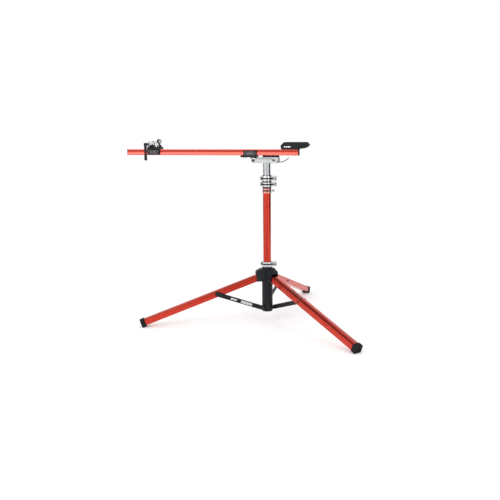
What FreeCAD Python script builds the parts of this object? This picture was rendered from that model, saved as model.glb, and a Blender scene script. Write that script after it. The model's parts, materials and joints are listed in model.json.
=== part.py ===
import FreeCAD, Part
import math
import os

import Sketcher

# Folding bicycle repair stand: a tripod base with a sliding hub and three struts, a two-part mast,
# and a tilting beam that carries a fork mount and a bottom bracket cradle.
# Frame: +Z up, origin on the floor under the mast's axis, +X along the beam towards the cradle.

doc = FreeCAD.newDocument("repair_stand")

# ---------------------------------------------------------------- driving dimensions (mm, degrees)
DIMENSIONS = {
    "fit_gap": 0.05,
    "mast_radius": 21.5,
    "mast_bore": 20.0,
    "mast_bottom": 66.0,
    "mast_top": 757.5,
    "post_bore": 18.0,
    "post_bottom": 444.0,
    "post_top": 889.5,
    "column_radius": 29.2,
    "collar_radius": 29.0,
    "collar_lip": 5.5,
    "collar_lip_step": 1.4,
    "lug_start": 19.4,
    "lug_side": 8.0,
    "lug_bottom": 75.0,
    "lug_length": 16.0,
    "lug_width": 15.0,
    "lug_height": 17.0,
    "column_bottom": 61.5,
    "collar_top": 92.0,
    "hub_bottom": 232.0,
    "hub_ring_radius": 31.0,
    "hub_reach": 66.0,
    "hub_roof": 275.0,
    "hub_top": 302.0,
    "neck_radius": 23.5,
    "neck_shoulder": 310.5,
    "neck_top": 337.0,
    "leg_first_azimuth": 202.5,
    "leg_slope": 19.86,
    "leg_pivot_reach": 54.0,
    "leg_pivot_height": 251.1,
    "leg_width": 42.0,
    "leg_low": 18.0,
    "leg_side": 14.0,
    "leg_crown": 18.0,
    "leg_wall": 2.0,
    "leg_behind": 12.0,
    "leg_length": 673.0,
    "leg_play": 0.3,
    "pivot_head_radius": 7.0,
    "pivot_head": 3.1,
    "leg_gap_start": 31.5,
    "leg_plug": 22.0,
    "leg_bolt_head_radius": 5.5,
    "leg_bolt_head": 3.0,
    "cheek_thick": 6.0,
    "foot_start": 654.0,
    "foot_length": 25.0,
    "foot_wall": 3.0,
    "foot_sole": 6.0,
    "strut_at_leg": 238.0,
    "strut_pivot_reach": 30.0,
    "strut_pivot_height": 84.0,
    "strut_offset": 23.5,
    "strut_thick": 6.0,
    "strut_half_width": 12.0,
    "bolt_radius": 4.0,
    "rivet_radius": 3.0,
    "ring_radius": 27.0,
    "ring_groove_radius": 24.0,
    "ring_groove": 7.0,
    "ear_azimuth": 15.0,
    "ear_reach": 52.0,
    "ear_half_width": 11.0,
    "skewer_reach": 45.0,
    "lever_height": 20.0,
    "lever_radius": 46.5,
    "lever_thick": 4.0,
    "lever_pin_side": 20.0,
    "lever_pin_radius": 2.0,
    "lever_barrel_radius": 6.0,
    "lever_centre_x": 10.6,
    "lever_centre_y": -13.3,
    "lever_start": 45.5,
    "lever_sweep": 121.0,
    "ear_start": 18.0,
    "ear_inset": 2.0,
    "ear_slit": 3.0,
    "ear_core": 16.0,
    "ear_tip_start": 38.0,
    "clamp_rod_radius": 2.8,
    "clamp_nut_radius": 8.0,
    "clamp_nut": 7.0,
    "clamp_washer": 2.0,
    "ring_one_bottom": 774.5,
    "ring_one_height": 30.0,
    "ring_two_bottom": 745.4,
    "ring_two_height": 25.9,
    "ring_three_bottom": 311.0,
    "ring_three_height": 26.8,
    "stop_bottom": 710.5,
    "stop_height": 25.5,
    "stop_radius": 24.5,
    "stop_groove_start": 10.5,
    "stop_groove_height": 8.0,
    "stop_groove_depth": 1.6,
    "screw_rise": 14.5,
    "screw_radius": 2.5,
    "knob_radius": 7.5,
    "knob_start": 8.0,
    "knob_length": 11.0,
    "seat_rise": 26.8,
    "seat_height": 7.8,
    "bush_radius": 25.0,
    "bush_flange": 2.0,
    "beam_size": 32.0,
    "beam_groove": 3.0,
    "beam_wall": 3.0,
    "beam_left": -796.0,
    "beam_right": 172.0,
    "beam_height": 927.5,
    "cap_thick": 3.0,
    "tilt_reach": -68.5,
    "tilt_height": 885.5,
    "boss_radius": 15.0,
    "head_bottom": 871.7,
    "head_top": 902.0,
    "head_right": 67.0,
    "head_width": 42.0,
    "lug_half_width": 10.0,
    "jaw_left": -47.0,
    "tilt_head_radius": 7.5,
    "tilt_head": 4.0,
    "tilt_nut": 5.0,
    "cam_x": 60.0,
    "cam_drop": 5.5,
    "cam_width": 12.0,
    "cam_barrel_radius": 7.0,
    "cam_centre_x": 66.2,
    "cam_centre_z": 948.3,
    "cam_outer_radius": 73.8,
    "cam_inner_radius": 70.8,
    "cam_start": 264.0,
    "cam_sweep": 53.5,
    "pad_left": -20.0,
    "pad_length": 86.0,
    "pad_half_width": 16.0,
    "pad_base": 3.6,
    "pad_ridge": 6.1,
    "pad_ridge_length": 14.5,
    "pad_ridge_step": 22.5,
    "saddle_play": 0.3,
    "saddle_wall": 4.7,
    "carriage_left": -139.0,
    "carriage_cheek_left": -124.0,
    "carriage_right": -50.0,
    "carriage_floor": 901.5,
    "carriage_lip": 938.0,
    "slider_left": -676.0,
    "slider_cheek_right": -602.0,
    "slider_right": -596.0,
    "slider_lip": 913.0,
    "slider_roof": 955.0,
    "fork_x": -661.0,
    "fork_z": 972.0,
    "fork_half_span": 50.0,
    "dropout_gap": 7.0,
    "dropout_radius": 4.5,
    "drum_radius": 15.0,
    "skewer_radius": 2.5,
    "cup_radius": 11.0,
    "cup_thick": 7.0,
    "fork_nut_radius": 8.5,
    "fork_nut": 9.0,
    "fork_cam_radius": 7.0,
    "fork_cam_reach": 15.0,
    "blade_width": 17.0,
    "blade_thick": 5.5,
    "blade_length": 78.5,
    "clamp_x": -611.0,
    "clamp_rise": 6.0,
    "clamp_barrel_radius": 5.5,
    "clamp_barrel": 12.4,
    "clamp_stem": 10.0,
    "clamp_stem_length": 26.0,
    "knob_x": -611.0,
    "knob_rise": 31.0,
    "knob_turn": 58.0,
    "knob_head_radius": 12.5,
    "knob_head": 16.0,
    "knob_disc_radius": 10.5,
    "knob_disc": 2.4,
    "cradle_half_width": 30.0,
    "cradle_top": 980.0,
    "trough_radius": 26.0,
    "trough_rise": 16.0,
    "trough_liner": 2.5,
    "liner_left": 94.0,
    "liner_length": 120.0,
    "cradle_well": 12.0,
    "cradle_bolt_head": 5.0,
    "badge_radius": 9.5,
    "badge_thick": 1.2,
    "rib_half_height": 2.5,
    "rib_thick": 1.7,
    "tilt_lug_radius": 11.0,
    "carriage_screw_radius": 4.5,
    "carriage_screw": 3.0,
    "carriage_screw_left": -127.0,
    "carriage_screw_step": 14.0,
}

sheet = doc.addObject("Spreadsheet::Sheet", "Dims")
for row, (alias, number) in enumerate(DIMENSIONS.items(), start=1):
    sheet.set(f"A{row}", alias)
    sheet.set(f"B{row}", str(number))
    sheet.setAlias(f"B{row}", alias)
doc.recompute()


def dim(alias):
    """A driving dimension as a plain number."""
    return float(sheet.get(alias))


def bound(text):
    """Turns an expression written with aliases into one that names the sheet."""
    words = []
    word = ""
    for char in str(text) + " ":
        if char.isalnum() or char == "_" or char == ".":
            word += char
            continue
        words.append(f"Dims.{word}" if word in DIMENSIONS else word)
        words.append(char)
        word = ""
    return "".join(words).strip()


def bind(obj, **expressions):
    """Binds properties of an object to expressions of the sheet."""
    for name, text in expressions.items():
        obj.setExpression(name, bound(text))


def move(obj, x=0, y=0, z=0):
    """Binds an object's position to expressions."""
    for name, text in (("x", x), ("y", y), ("z", z)):
        obj.setExpression(f"Placement.Base.{name}", bound(text))


# ---------------------------------------------------------------- primitive makers
AXES = {
    "x": FreeCAD.Rotation(FreeCAD.Vector(0, 1, 0), 90),
    "y": FreeCAD.Rotation(FreeCAD.Vector(1, 0, 0), -90),
    "z": FreeCAD.Rotation(),
}


def cylinder(name, radius, length, x=0, y=0, z=0, along="z"):
    """A cylinder that starts at x, y, z and runs along a positive axis."""
    obj = doc.addObject("Part::Cylinder", name)
    obj.Placement.Rotation = AXES[along]
    bind(obj, Radius=radius, Height=length)
    move(obj, x, y, z)
    return obj


def sector(name, radius, length, start, sweep, x=0, y=0, z=0, across="z"):
    """A pie slice of a cylinder: start and sweep are in degrees about the axis it stands on."""
    obj = cylinder(name, radius, length, x, y, z)
    turn = FreeCAD.Rotation(FreeCAD.Vector(0, 0, 1), start)
    lay = FreeCAD.Rotation(FreeCAD.Vector(1, 0, 0), 90) if across == "y" else FreeCAD.Rotation()
    obj.Placement.Rotation = lay.multiply(turn)
    bind(obj, Angle=sweep)
    return obj


def box(name, x, y, z, x_size, y_size, z_size):
    """A box from its lowest corner and its sizes."""
    obj = doc.addObject("Part::Box", name)
    bind(obj, Length=x_size, Width=y_size, Height=z_size)
    move(obj, x, y, z)
    return obj


def fuse(name, *shapes):
    obj = doc.addObject("Part::MultiFuse", name)
    obj.Shapes = list(shapes)
    return obj


def cut(name, base, *tools):
    """Takes every tool away from base."""
    obj = doc.addObject("Part::Cut", name)
    obj.Base = base
    obj.Tool = tools[0] if len(tools) == 1 else fuse(f"{name}_tools", *tools)
    return obj


def common(name, first, second):
    obj = doc.addObject("Part::Common", name)
    obj.Base = first
    obj.Tool = second
    return obj


def group(name, *solids):
    """Separate solids that share one node."""
    obj = doc.addObject("Part::Compound", name)
    obj.Links = list(solids)
    return obj


def tube(name, outer, inner, bottom, length):
    """An upright tube on the mast's axis."""
    wall = cylinder(f"{name}_wall", outer, length, z=bottom)
    bore = cylinder(f"{name}_bore", inner, f"{length} + 2", z=f"{bottom} - 1")
    return cut(name, wall, bore)


def turned(azimuth, *tilts):
    """A rotation by an azimuth about Z, after tilts about Y."""
    turn = FreeCAD.Rotation(FreeCAD.Vector(0, 0, 1), azimuth)
    for tilt in tilts:
        turn = turn.multiply(FreeCAD.Rotation(FreeCAD.Vector(0, 1, 0), tilt))
    return turn


def around(azimuth, reach, height):
    """A point at a distance from the mast's axis."""
    angle = math.radians(azimuth)
    return FreeCAD.Vector(reach * math.cos(angle), reach * math.sin(angle), height)


# ---------------------------------------------------------------- sketched bodies
def new_body(name):
    return doc.addObject("PartDesign::Body", name)


def plane_of(body, role):
    return next(f for f in body.Origin.OriginFeatures if f.Role == role)


def outline(body, name, role, points, bulges=None, limits=()):
    """A closed outline on one of the body's planes.

    points are corners; bulges maps a corner's index to the middle point of an arc to the next corner.
    limits are (corner, axis, expression) distances from the sketch's origin, bound to the sheet.
    """
    sketch = body.newObject("Sketcher::SketchObject", name)
    sketch.AttachmentSupport = [(plane_of(body, role), "")]
    sketch.MapMode = "FlatFace"
    corners = [FreeCAD.Vector(a, b, 0) for a, b in points]
    for i, corner in enumerate(corners):
        after = corners[(i + 1) % len(corners)]
        if bulges and i in bulges:
            middle = FreeCAD.Vector(bulges[i][0], bulges[i][1], 0)
            arc = Part.Arc(corner, middle, after)
            sketch.addGeometry(arc, False)
        else:
            sketch.addGeometry(Part.LineSegment(corner, after), False)
    for corner, axis, text in limits:
        kind = "DistanceX" if axis == 0 else "DistanceY"
        value = points[corner][axis]
        index = sketch.addConstraint(Sketcher.Constraint(kind, -1, 1, corner, 1, value))
        sketch.setExpression(f"Constraints[{index}]", bound(text))
    return sketch


def pad(body, name, sketch, length, middle=False, back=False):
    feature = body.newObject("PartDesign::Pad", name)
    feature.Profile = sketch
    feature.setExpression("Length", bound(length))
    feature.Midplane = middle
    feature.Reversed = back
    return feature


def pocket(body, name, sketch, length, middle=False, back=False):
    """A pocket that has to take something away."""
    doc.recompute()
    before = body.Shape.Volume
    feature = body.newObject("PartDesign::Pocket", name)
    feature.Profile = sketch
    feature.setExpression("Length", bound(length))
    feature.Midplane = middle
    feature.Reversed = back
    doc.recompute()
    if body.Shape.Volume >= before - 1e-6:
        raise RuntimeError(f"{name} cuts nothing")
    return feature


def revolved(name, points):
    """A body turned about Z from (radius, height) corners."""
    body = new_body(name)
    sketch = outline(body, f"{name}_profile", "XZ_Plane", points)
    feature = body.newObject("PartDesign::Revolution", f"{name}_turn")
    feature.Profile = sketch
    feature.ReferenceAxis = (sketch, ["V_Axis"])
    feature.Angle = 360
    return body


kept = {}


def keep(node, obj):
    """Marks an object as a sub-part: its label is the node's name."""
    obj.Label = node
    kept[node] = obj
    return obj


# ---------------------------------------------------------------- mast and lower column
def make_mast():
    keep("mast_tube", tube("mast", "mast_radius", "mast_bore", "mast_bottom", "mast_top - mast_bottom"))

    flange_height, core_height = 4, 14
    plug_flange = cylinder("plug_flange", "mast_radius", flange_height, z=f"mast_bottom - {flange_height}")
    plug_core = cylinder("plug_core", "mast_bore - fit_gap", core_height, z="mast_bottom - 1")
    keep("mast_end_plug", fuse("mast_plug", plug_flange, plug_core))

    keep("column_sleeve", tube("sleeve", "column_radius", "mast_radius + fit_gap",
                               "collar_top + 0.3", "hub_bottom - collar_top - 0.6"))

    ring = cylinder("collar_ring", "collar_radius", "collar_top - column_bottom - collar_lip",
                    z="column_bottom + collar_lip")
    lip = cylinder("collar_lip_ring", "collar_radius - collar_lip_step", "collar_lip + 1", z="column_bottom")
    lugs = []
    holes = []
    for number in range(3):
        azimuth = dim("leg_first_azimuth") + 120 * number
        lug = box(f"lug_{number}", 0, 0, 0, "lug_length", "lug_width", "lug_height")
        lug.Placement = FreeCAD.Placement(FreeCAD.Vector(), turned(azimuth))
        corner = FreeCAD.Vector(dim("lug_start"), dim("lug_side"), dim("lug_bottom"))
        lug_corner = turned(azimuth).multVec(corner)
        move(lug, lug_corner.x, lug_corner.y, lug_corner.z)
        lugs.append(lug)
        hole = cylinder(f"lug_hole_{number}", "rivet_radius + fit_gap", 30, along="y")
        pivot = FreeCAD.Vector(dim("strut_pivot_reach"), dim("lug_side") + 1, dim("strut_pivot_height"))
        start = turned(azimuth).multVec(pivot)
        hole.Placement.Rotation = turned(azimuth).multiply(AXES["y"])
        move(hole, start.x, start.y, start.z)
        holes.append(hole)
    solid = fuse("collar_solid", ring, lip, *lugs)
    bore = cylinder("collar_bore", "mast_radius + fit_gap", 40, z="column_bottom - 1")
    keep("lower_collar", cut("collar", solid, bore, *holes))

    band = tube("stop_band", "stop_radius", "mast_radius + fit_gap", "stop_bottom", "stop_height")
    groove = tube("stop_groove", "stop_radius + 1", "stop_radius - stop_groove_depth",
                  "stop_bottom + stop_groove_start", "stop_groove_height")
    axis = "stop_bottom + screw_rise"
    thread = cylinder("stop_thread", "screw_radius + 2 * fit_gap", 12, x="mast_radius - 2", z=axis, along="x")
    keep("stop_collar", cut("stop", band, groove, thread))

    stem = cylinder("screw_stem", "screw_radius", "knob_start + 1", x="mast_radius + 0.4", z=axis, along="x")
    knob = cylinder("screw_knob", "knob_radius", "knob_length", x="mast_radius + knob_start", z=axis,
                    along="x")
    keep("stop_screw", fuse("screw", stem, knob))

    keep("swivel_seat", tube("seat", "neck_radius", "mast_radius + fit_gap", "stop_bottom + seat_rise",
                             "seat_height"))


# ---------------------------------------------------------------- hub that slides on the mast
def make_hub():
    reach = dim("hub_reach")
    top = dim("hub_top")
    dome = revolved("dome", [
        (dim("mast_radius") + dim("fit_gap"), dim("hub_bottom")),
        (reach, dim("hub_bottom")),
        (reach, top - 21),
        (reach - 3, top - 16),
        (reach - 9, top - 11),
        (reach - 24, top - 3.5),
        (dim("ring_radius"), top),
        (dim("ring_radius"), dim("neck_shoulder")),
        (dim("neck_radius"), dim("neck_shoulder")),
        (dim("neck_radius"), dim("neck_top")),
        (dim("mast_radius") + dim("fit_gap"), dim("neck_top")),
    ])
    half = "leg_width / 2 + leg_play + cheek_thick"
    plan = [cylinder("hub_ring", "hub_ring_radius", "neck_top - hub_bottom", z="hub_bottom")]
    gaps = []
    bolts = []
    for number in range(3):
        azimuth = dim("leg_first_azimuth") + 120 * number
        turn = turned(azimuth)
        lobe = box(f"lobe_{number}", 0, 0, 0, "hub_reach + 1", f"2 * ({half})", "neck_top - hub_bottom")
        side = dim("leg_width") / 2 + dim("leg_play")
        corner = turn.multVec(FreeCAD.Vector(0, -side - dim("cheek_thick"), dim("hub_bottom")))
        lobe.Placement.Rotation = turn
        move(lobe, corner.x, corner.y, corner.z)
        plan.append(lobe)
        gap = box(f"leg_gap_{number}", 0, 0, 0, 40, "leg_width + 2 * leg_play", "hub_roof - hub_bottom + 1")
        gap.Placement.Rotation = turn
        corner = turn.multVec(FreeCAD.Vector(dim("leg_gap_start"), -side, dim("hub_bottom") - 1))
        move(gap, corner.x, corner.y, corner.z)
        gaps.append(gap)
        drill = 40.0
        start = turn.multVec(FreeCAD.Vector(dim("leg_pivot_reach"), -drill, dim("leg_pivot_height")))
        hole = cylinder(f"hub_hole_{number}", "bolt_radius + fit_gap", 2 * drill)
        hole.Placement.Rotation = turn.multiply(AXES["y"])
        move(hole, start.x, start.y, start.z)
        gaps.append(hole)
        bolts.append(leg_pivot_bolt(number, turn))
    cast = common("hub_cast", dome, fuse("hub_plan", *plan))
    keep("hub_casting", cut("hub", cast, *gaps))
    keep("leg_pivot_bolts", group("pivot_bolts", *bolts))


def leg_pivot_bolt(number, turn):
    """A shoulder bolt across both cheeks, with a low head at each end."""
    side = dim("leg_width") / 2 + dim("leg_play") + dim("cheek_thick")
    pieces = []
    head = dim("pivot_head")
    stack = [
        ("bolt_radius", 0.1 - side - head, 2 * (side + head - 0.1)),
        ("pivot_head_radius", -side - head - 0.1, "pivot_head"),
        ("pivot_head_radius", side + 0.1, "pivot_head"),
    ]
    for index, (radius, start_y, length) in enumerate(stack):
        start = turn.multVec(FreeCAD.Vector(dim("leg_pivot_reach"), start_y, dim("leg_pivot_height")))
        piece = cylinder(f"pivot_{number}_{index}", radius, length)
        piece.Placement.Rotation = turn.multiply(AXES["y"])
        move(piece, start.x, start.y, start.z)
        pieces.append(piece)
    return fuse(f"pivot_bolt_{number}", *pieces)


# ---------------------------------------------------------------- legs and feet
def leg_outline(body, name, shrink):
    """The leg's section: a flat underside and sides, and a crowned outer face."""
    half = dim("leg_width") / 2 - shrink
    low = -dim("leg_low") + shrink
    side = dim("leg_side") - shrink
    ease = 4.0 - shrink
    crown = dim("leg_crown") - shrink
    points = [(-half + ease, low), (half - ease, low), (half, low + ease), (half, side),
              (-half, side), (-half, low + ease)]
    return outline(body, name, "YZ_Plane", points, bulges={3: (0, crown)},
                   limits=[(3, 0, f"leg_width / 2 - {shrink}"), (3, 1, f"leg_side - {shrink}")])


def cross_holes(body, name, places):
    """Holes across the body along Y: places are (x, z, radius)."""
    for index, (along, up, radius) in enumerate(places):
        sketch = body.newObject("Sketcher::SketchObject", f"{name}_{index}_circle")
        sketch.AttachmentSupport = [(plane_of(body, "XZ_Plane"), "")]
        sketch.MapMode = "FlatFace"
        circle = Part.Circle(FreeCAD.Vector(along, up, 0), FreeCAD.Vector(0, 0, 1), dim_radius(radius))
        sketch.addGeometry(circle, False)
        rule = sketch.addConstraint(Sketcher.Constraint("Radius", 0, dim_radius(radius)))
        sketch.setExpression(f"Constraints[{rule}]", bound(f"{radius} + fit_gap"))
        pocket(body, f"{name}_{index}", sketch, 120, middle=True)


def dim_radius(alias):
    return dim(alias) + dim("fit_gap")


def place_on_leg(obj, azimuth):
    """Puts a piece that is drawn along the leg's own axis into the open stance."""
    pivot = around(azimuth, dim("leg_pivot_reach"), dim("leg_pivot_height"))
    obj.Placement = FreeCAD.Placement(pivot, turned(azimuth, dim("leg_slope")))


def make_leg(number):
    azimuth = dim("leg_first_azimuth") + 120 * (number - 1)
    name = f"leg_{number}"

    leg = new_body(f"{name}_body")
    shell = pad(leg, f"{name}_pad", leg_outline(leg, f"{name}_outer", 0), "leg_length + leg_behind")
    core_sketch = leg_outline(leg, f"{name}_inner", dim("leg_wall"))
    pocket(leg, f"{name}_hollow", core_sketch, "leg_length + leg_behind + 1", back=True)
    for feature in (shell.Profile[0], core_sketch):
        feature.AttachmentOffset = FreeCAD.Placement(
            FreeCAD.Vector(0, 0, -dim("leg_behind")), FreeCAD.Rotation())
    cross_holes(leg, f"{name}_hole", [(0, 0, "bolt_radius"), (dim("strut_at_leg"), 0, "rivet_radius")])
    place_on_leg(leg, azimuth)
    keep(f"{name}_tube", leg)

    plug = new_body(f"{name}_plug_body")
    plug_sketch = leg_outline(plug, f"{name}_plug_outer", dim("leg_wall") + dim("fit_gap"))
    plug_sketch.AttachmentOffset = FreeCAD.Placement(
        FreeCAD.Vector(0, 0, -dim("leg_behind")), FreeCAD.Rotation())
    pad(plug, f"{name}_plug_pad", plug_sketch, "leg_behind + leg_plug")
    cross_holes(plug, f"{name}_plug_hole", [(0, 0, "bolt_radius")])
    place_on_leg(plug, azimuth)
    keep(f"{name}_top_plug", plug)

    place_bolt = fuse(
        f"{name}_bolt_body",
        cylinder(f"{name}_shank", "rivet_radius", "leg_width", x="strut_at_leg",
                 y="-leg_width / 2 - 0.5", along="y"),
        cylinder(f"{name}_head", "leg_bolt_head_radius", "leg_bolt_head", x="strut_at_leg",
                 y="-leg_width / 2 - leg_bolt_head - 0.1", along="y"),
    )
    place_on_leg(place_bolt, azimuth)
    keep(f"{name}_bolt", place_bolt)

    foot = make_foot(f"{name}_foot_body")
    place_on_leg(foot, azimuth)
    keep(f"{name}_foot", foot)


def make_foot(name):
    """A moulded cap over the leg's end, with a flat on its sole that lies on the floor."""
    foot = new_body(name)
    start = dim("foot_start")
    end = start + dim("foot_length")
    half = dim("leg_width") / 2 + dim("foot_wall")
    low = -dim("leg_low") - dim("foot_sole")
    side = dim("leg_side") + dim("foot_wall")
    ease = 6.0
    points = [(-half + ease, low), (half - ease, low), (half, low + ease), (half, side),
              (-half, side), (-half, low + ease)]
    skin = outline(foot, f"{name}_skin", "YZ_Plane", points,
                   bulges={3: (0, dim("leg_crown") + dim("foot_wall"))},
                   limits=[(3, 0, "leg_width / 2 + foot_wall")])
    skin.AttachmentOffset = FreeCAD.Placement(FreeCAD.Vector(0, 0, start), FreeCAD.Rotation())
    pad(foot, f"{name}_pad", skin, "foot_length")
    socket = leg_outline(foot, f"{name}_socket", -dim("fit_gap"))
    socket.AttachmentOffset = FreeCAD.Placement(FreeCAD.Vector(0, 0, start - 1), FreeCAD.Rotation())
    pocket(foot, f"{name}_hollow", socket, "leg_length - foot_start + 1.2", back=True)
    arch = outline(foot, f"{name}_arch", "YZ_Plane", [(-9, -11), (9, -11), (9, 4), (-9, 4)],
                   bulges={2: (0, 10)})
    arch.AttachmentOffset = FreeCAD.Placement(FreeCAD.Vector(0, 0, end - 3), FreeCAD.Rotation())
    pocket(foot, f"{name}_dish", arch, 4, back=True)
    slope = math.radians(dim("leg_slope"))
    floor_at_end = (end * math.sin(slope) - dim("leg_pivot_height")) / math.cos(slope)
    floor_at_start = floor_at_end - dim("foot_length") * math.tan(slope)
    wedge = outline(foot, f"{name}_floor", "XZ_Plane", [
        (start - 1, floor_at_start - math.tan(slope)),
        (end + 1, floor_at_end + math.tan(slope)),
        (end + 1, low - 8),
        (start - 1, low - 8),
    ])
    pocket(foot, f"{name}_flat", wedge, 120, middle=True)
    return foot


# ---------------------------------------------------------------- struts
def strut_shape():
    """The strut's length and its angle above the floor in the open stance."""
    slope = math.radians(dim("leg_slope"))
    reach = dim("leg_pivot_reach") + dim("strut_at_leg") * math.cos(slope) - dim("strut_pivot_reach")
    rise = dim("leg_pivot_height") - dim("strut_at_leg") * math.sin(slope) - dim("strut_pivot_height")
    return math.hypot(reach, rise), math.degrees(math.atan2(rise, reach))


def make_strut(number):
    azimuth = dim("leg_first_azimuth") + 120 * (number - 1)
    name = f"strut_{number}"
    length, angle = strut_shape()
    pivot = around(azimuth, dim("strut_pivot_reach"), dim("strut_pivot_height"))
    stance = FreeCAD.Placement(pivot, turned(azimuth, -angle))

    flat = box(f"{name}_flat", 0, "strut_offset", "-strut_half_width", length, "strut_thick",
               "2 * strut_half_width")
    near = cylinder(f"{name}_near", "strut_half_width", "strut_thick", y="strut_offset", along="y")
    far = cylinder(f"{name}_far", "strut_half_width", "strut_thick", x=length, y="strut_offset", along="y")
    holes = [cylinder(f"{name}_hole_{i}", "rivet_radius + fit_gap", 20, x=place, y="strut_offset - 5",
                      along="y") for i, place in enumerate((0, length))]
    bar = cut(f"{name}_cut", fuse(f"{name}_solid", flat, near, far), *holes)
    bar.Placement = stance
    keep(f"{name}_bar", bar)

    inner = fuse(
        f"{name}_inner_rivet",
        cylinder(f"{name}_inner_shank", "rivet_radius", "strut_offset + strut_thick - 11.5", y=12, along="y"),
        cylinder(f"{name}_inner_head", "2 * rivet_radius", 2.6, y="strut_offset + strut_thick + 0.1",
                 along="y"),
    )
    outer = fuse(
        f"{name}_outer_rivet",
        cylinder(f"{name}_outer_shank", "rivet_radius", "strut_thick + 0.4", x=length, y="strut_offset",
                 along="y"),
        cylinder(f"{name}_outer_head", "2 * rivet_radius", 2.6, x=length,
                 y="strut_offset + strut_thick + 0.1", along="y"),
    )
    rivets = group(f"{name}_pair", inner, outer)
    rivets.Placement = stance
    keep(f"{name}_rivets", rivets)


# ---------------------------------------------------------------- quick release collars
def make_collar(number, bottom, height, bore):
    """A split ring with two ears, its cross skewer, and a curved cam lever on an upright pin."""
    name = f"qr_{number}"
    stance = FreeCAD.Placement(FreeCAD.Vector(), turned(dim("ear_azimuth")))
    middle = f"{bottom} + {height} / 2"

    ring = cylinder(f"{name}_ring", "ring_radius", height, z=bottom)
    ears = box(f"{name}_ears", "ear_start", "-ear_half_width", f"{bottom} + ear_inset",
               "ear_reach - ear_start", "2 * ear_half_width", f"{height} - 2 * ear_inset")
    bore_cut = cylinder(f"{name}_bore", bore, f"{height} + 2", z=f"{bottom} - 1")
    slit = box(f"{name}_slit", 10, "-ear_slit / 2", f"{bottom} - 1", 60, "ear_slit", f"{height} + 2")
    groove = tube(f"{name}_groove", "ring_radius + 30", "ring_groove_radius",
                  f"{middle} - ring_groove / 2", "ring_groove")
    face_keep = box(f"{name}_face_keep", 20, "3 - ear_half_width", f"{middle} - ear_core / 2", 60,
                    "2 * (ear_half_width - 3)", "ear_core")
    tip_keep = box(f"{name}_tip_keep", "ear_tip_start", "-ear_half_width", f"{middle} - ear_core / 2", 40,
                   "2 * ear_half_width", "ear_core")
    groove_cut = cut(f"{name}_groove_cut", groove, face_keep, tip_keep)
    hole = cylinder(f"{name}_hole", "clamp_rod_radius + 0.4", 60, x="skewer_reach", y=-30, z=middle,
                    along="y")
    collar = cut(f"{name}_collar_cut", fuse(f"{name}_solid", ring, ears), bore_cut, slit, groove_cut, hole)
    collar.Placement = stance
    keep(f"{name}_collar", collar)

    rod = cylinder(f"{name}_rod", "clamp_rod_radius", "2 * ear_half_width + 4", x="skewer_reach",
                   y="-ear_half_width - 2", z=middle, along="y")
    nut = cylinder(f"{name}_nut", "clamp_nut_radius", "clamp_nut", x="skewer_reach",
                   y="-ear_half_width - clamp_nut - 0.1", z=middle, along="y")
    washer = cylinder(f"{name}_washer", "lever_barrel_radius", "clamp_washer", x="skewer_reach",
                      y="ear_half_width + 0.1", z=middle, along="y")
    pin = cylinder(f"{name}_pin", "lever_pin_radius", "lever_height + 2", x="skewer_reach",
                   y="lever_pin_side", z=f"{middle} - lever_height / 2 - 1")
    skewer = group(f"{name}_skewer_set", fuse(f"{name}_rod_set", rod, nut, washer), pin)
    skewer.Placement = stance
    keep(f"{name}_skewer", skewer)

    low = f"{middle} - lever_height / 2"
    centre = {"x": "lever_centre_x", "y": "lever_centre_y"}
    arm_out = sector(f"{name}_arm_out", "lever_radius + lever_thick / 2", "lever_height",
                     dim("lever_start"), "lever_sweep", z=low, **centre)
    arm_in = cylinder(f"{name}_arm_in", "lever_radius - lever_thick / 2", "lever_height + 2",
                      z=f"{low} - 1", **centre)
    arm = cut(f"{name}_arm", arm_out, arm_in)
    barrel = cylinder(f"{name}_barrel", "lever_barrel_radius", "lever_height", x="skewer_reach",
                      y="lever_pin_side", z=low)
    pin_hole = cylinder(f"{name}_pin_hole", "lever_pin_radius + fit_gap", "lever_height + 20",
                        x="skewer_reach", y="lever_pin_side", z=f"{low} - 10")
    lever = cut(f"{name}_lever_cut", fuse(f"{name}_lever_solid", arm, barrel), pin_hole)
    lever.Placement = stance
    keep(f"{name}_lever", lever)


# ---------------------------------------------------------------- post and head
def make_post():
    keep("post_tube", tube("post", "mast_bore - fit_gap", "post_bore", "post_bottom",
                           "post_top - post_bottom"))
    keep("post_end_plug", cylinder("post_plug", "post_bore - fit_gap", 12, z="post_bottom + 0.5"))
    bush_top = "ring_one_bottom + ring_one_height + 0.1"
    bush = cylinder("bush_wall", "mast_radius", f"{bush_top} - mast_top - 0.5", z="mast_top + 0.5")
    flange = cylinder("bush_rim", "bush_radius", "bush_flange", z=bush_top)
    bore = cylinder("bush_bore", "mast_bore", 60, z="mast_top - 5")
    keep("swivel_sleeve", cut("swivel", fuse("bush_solid", bush, flange), bore))


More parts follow.
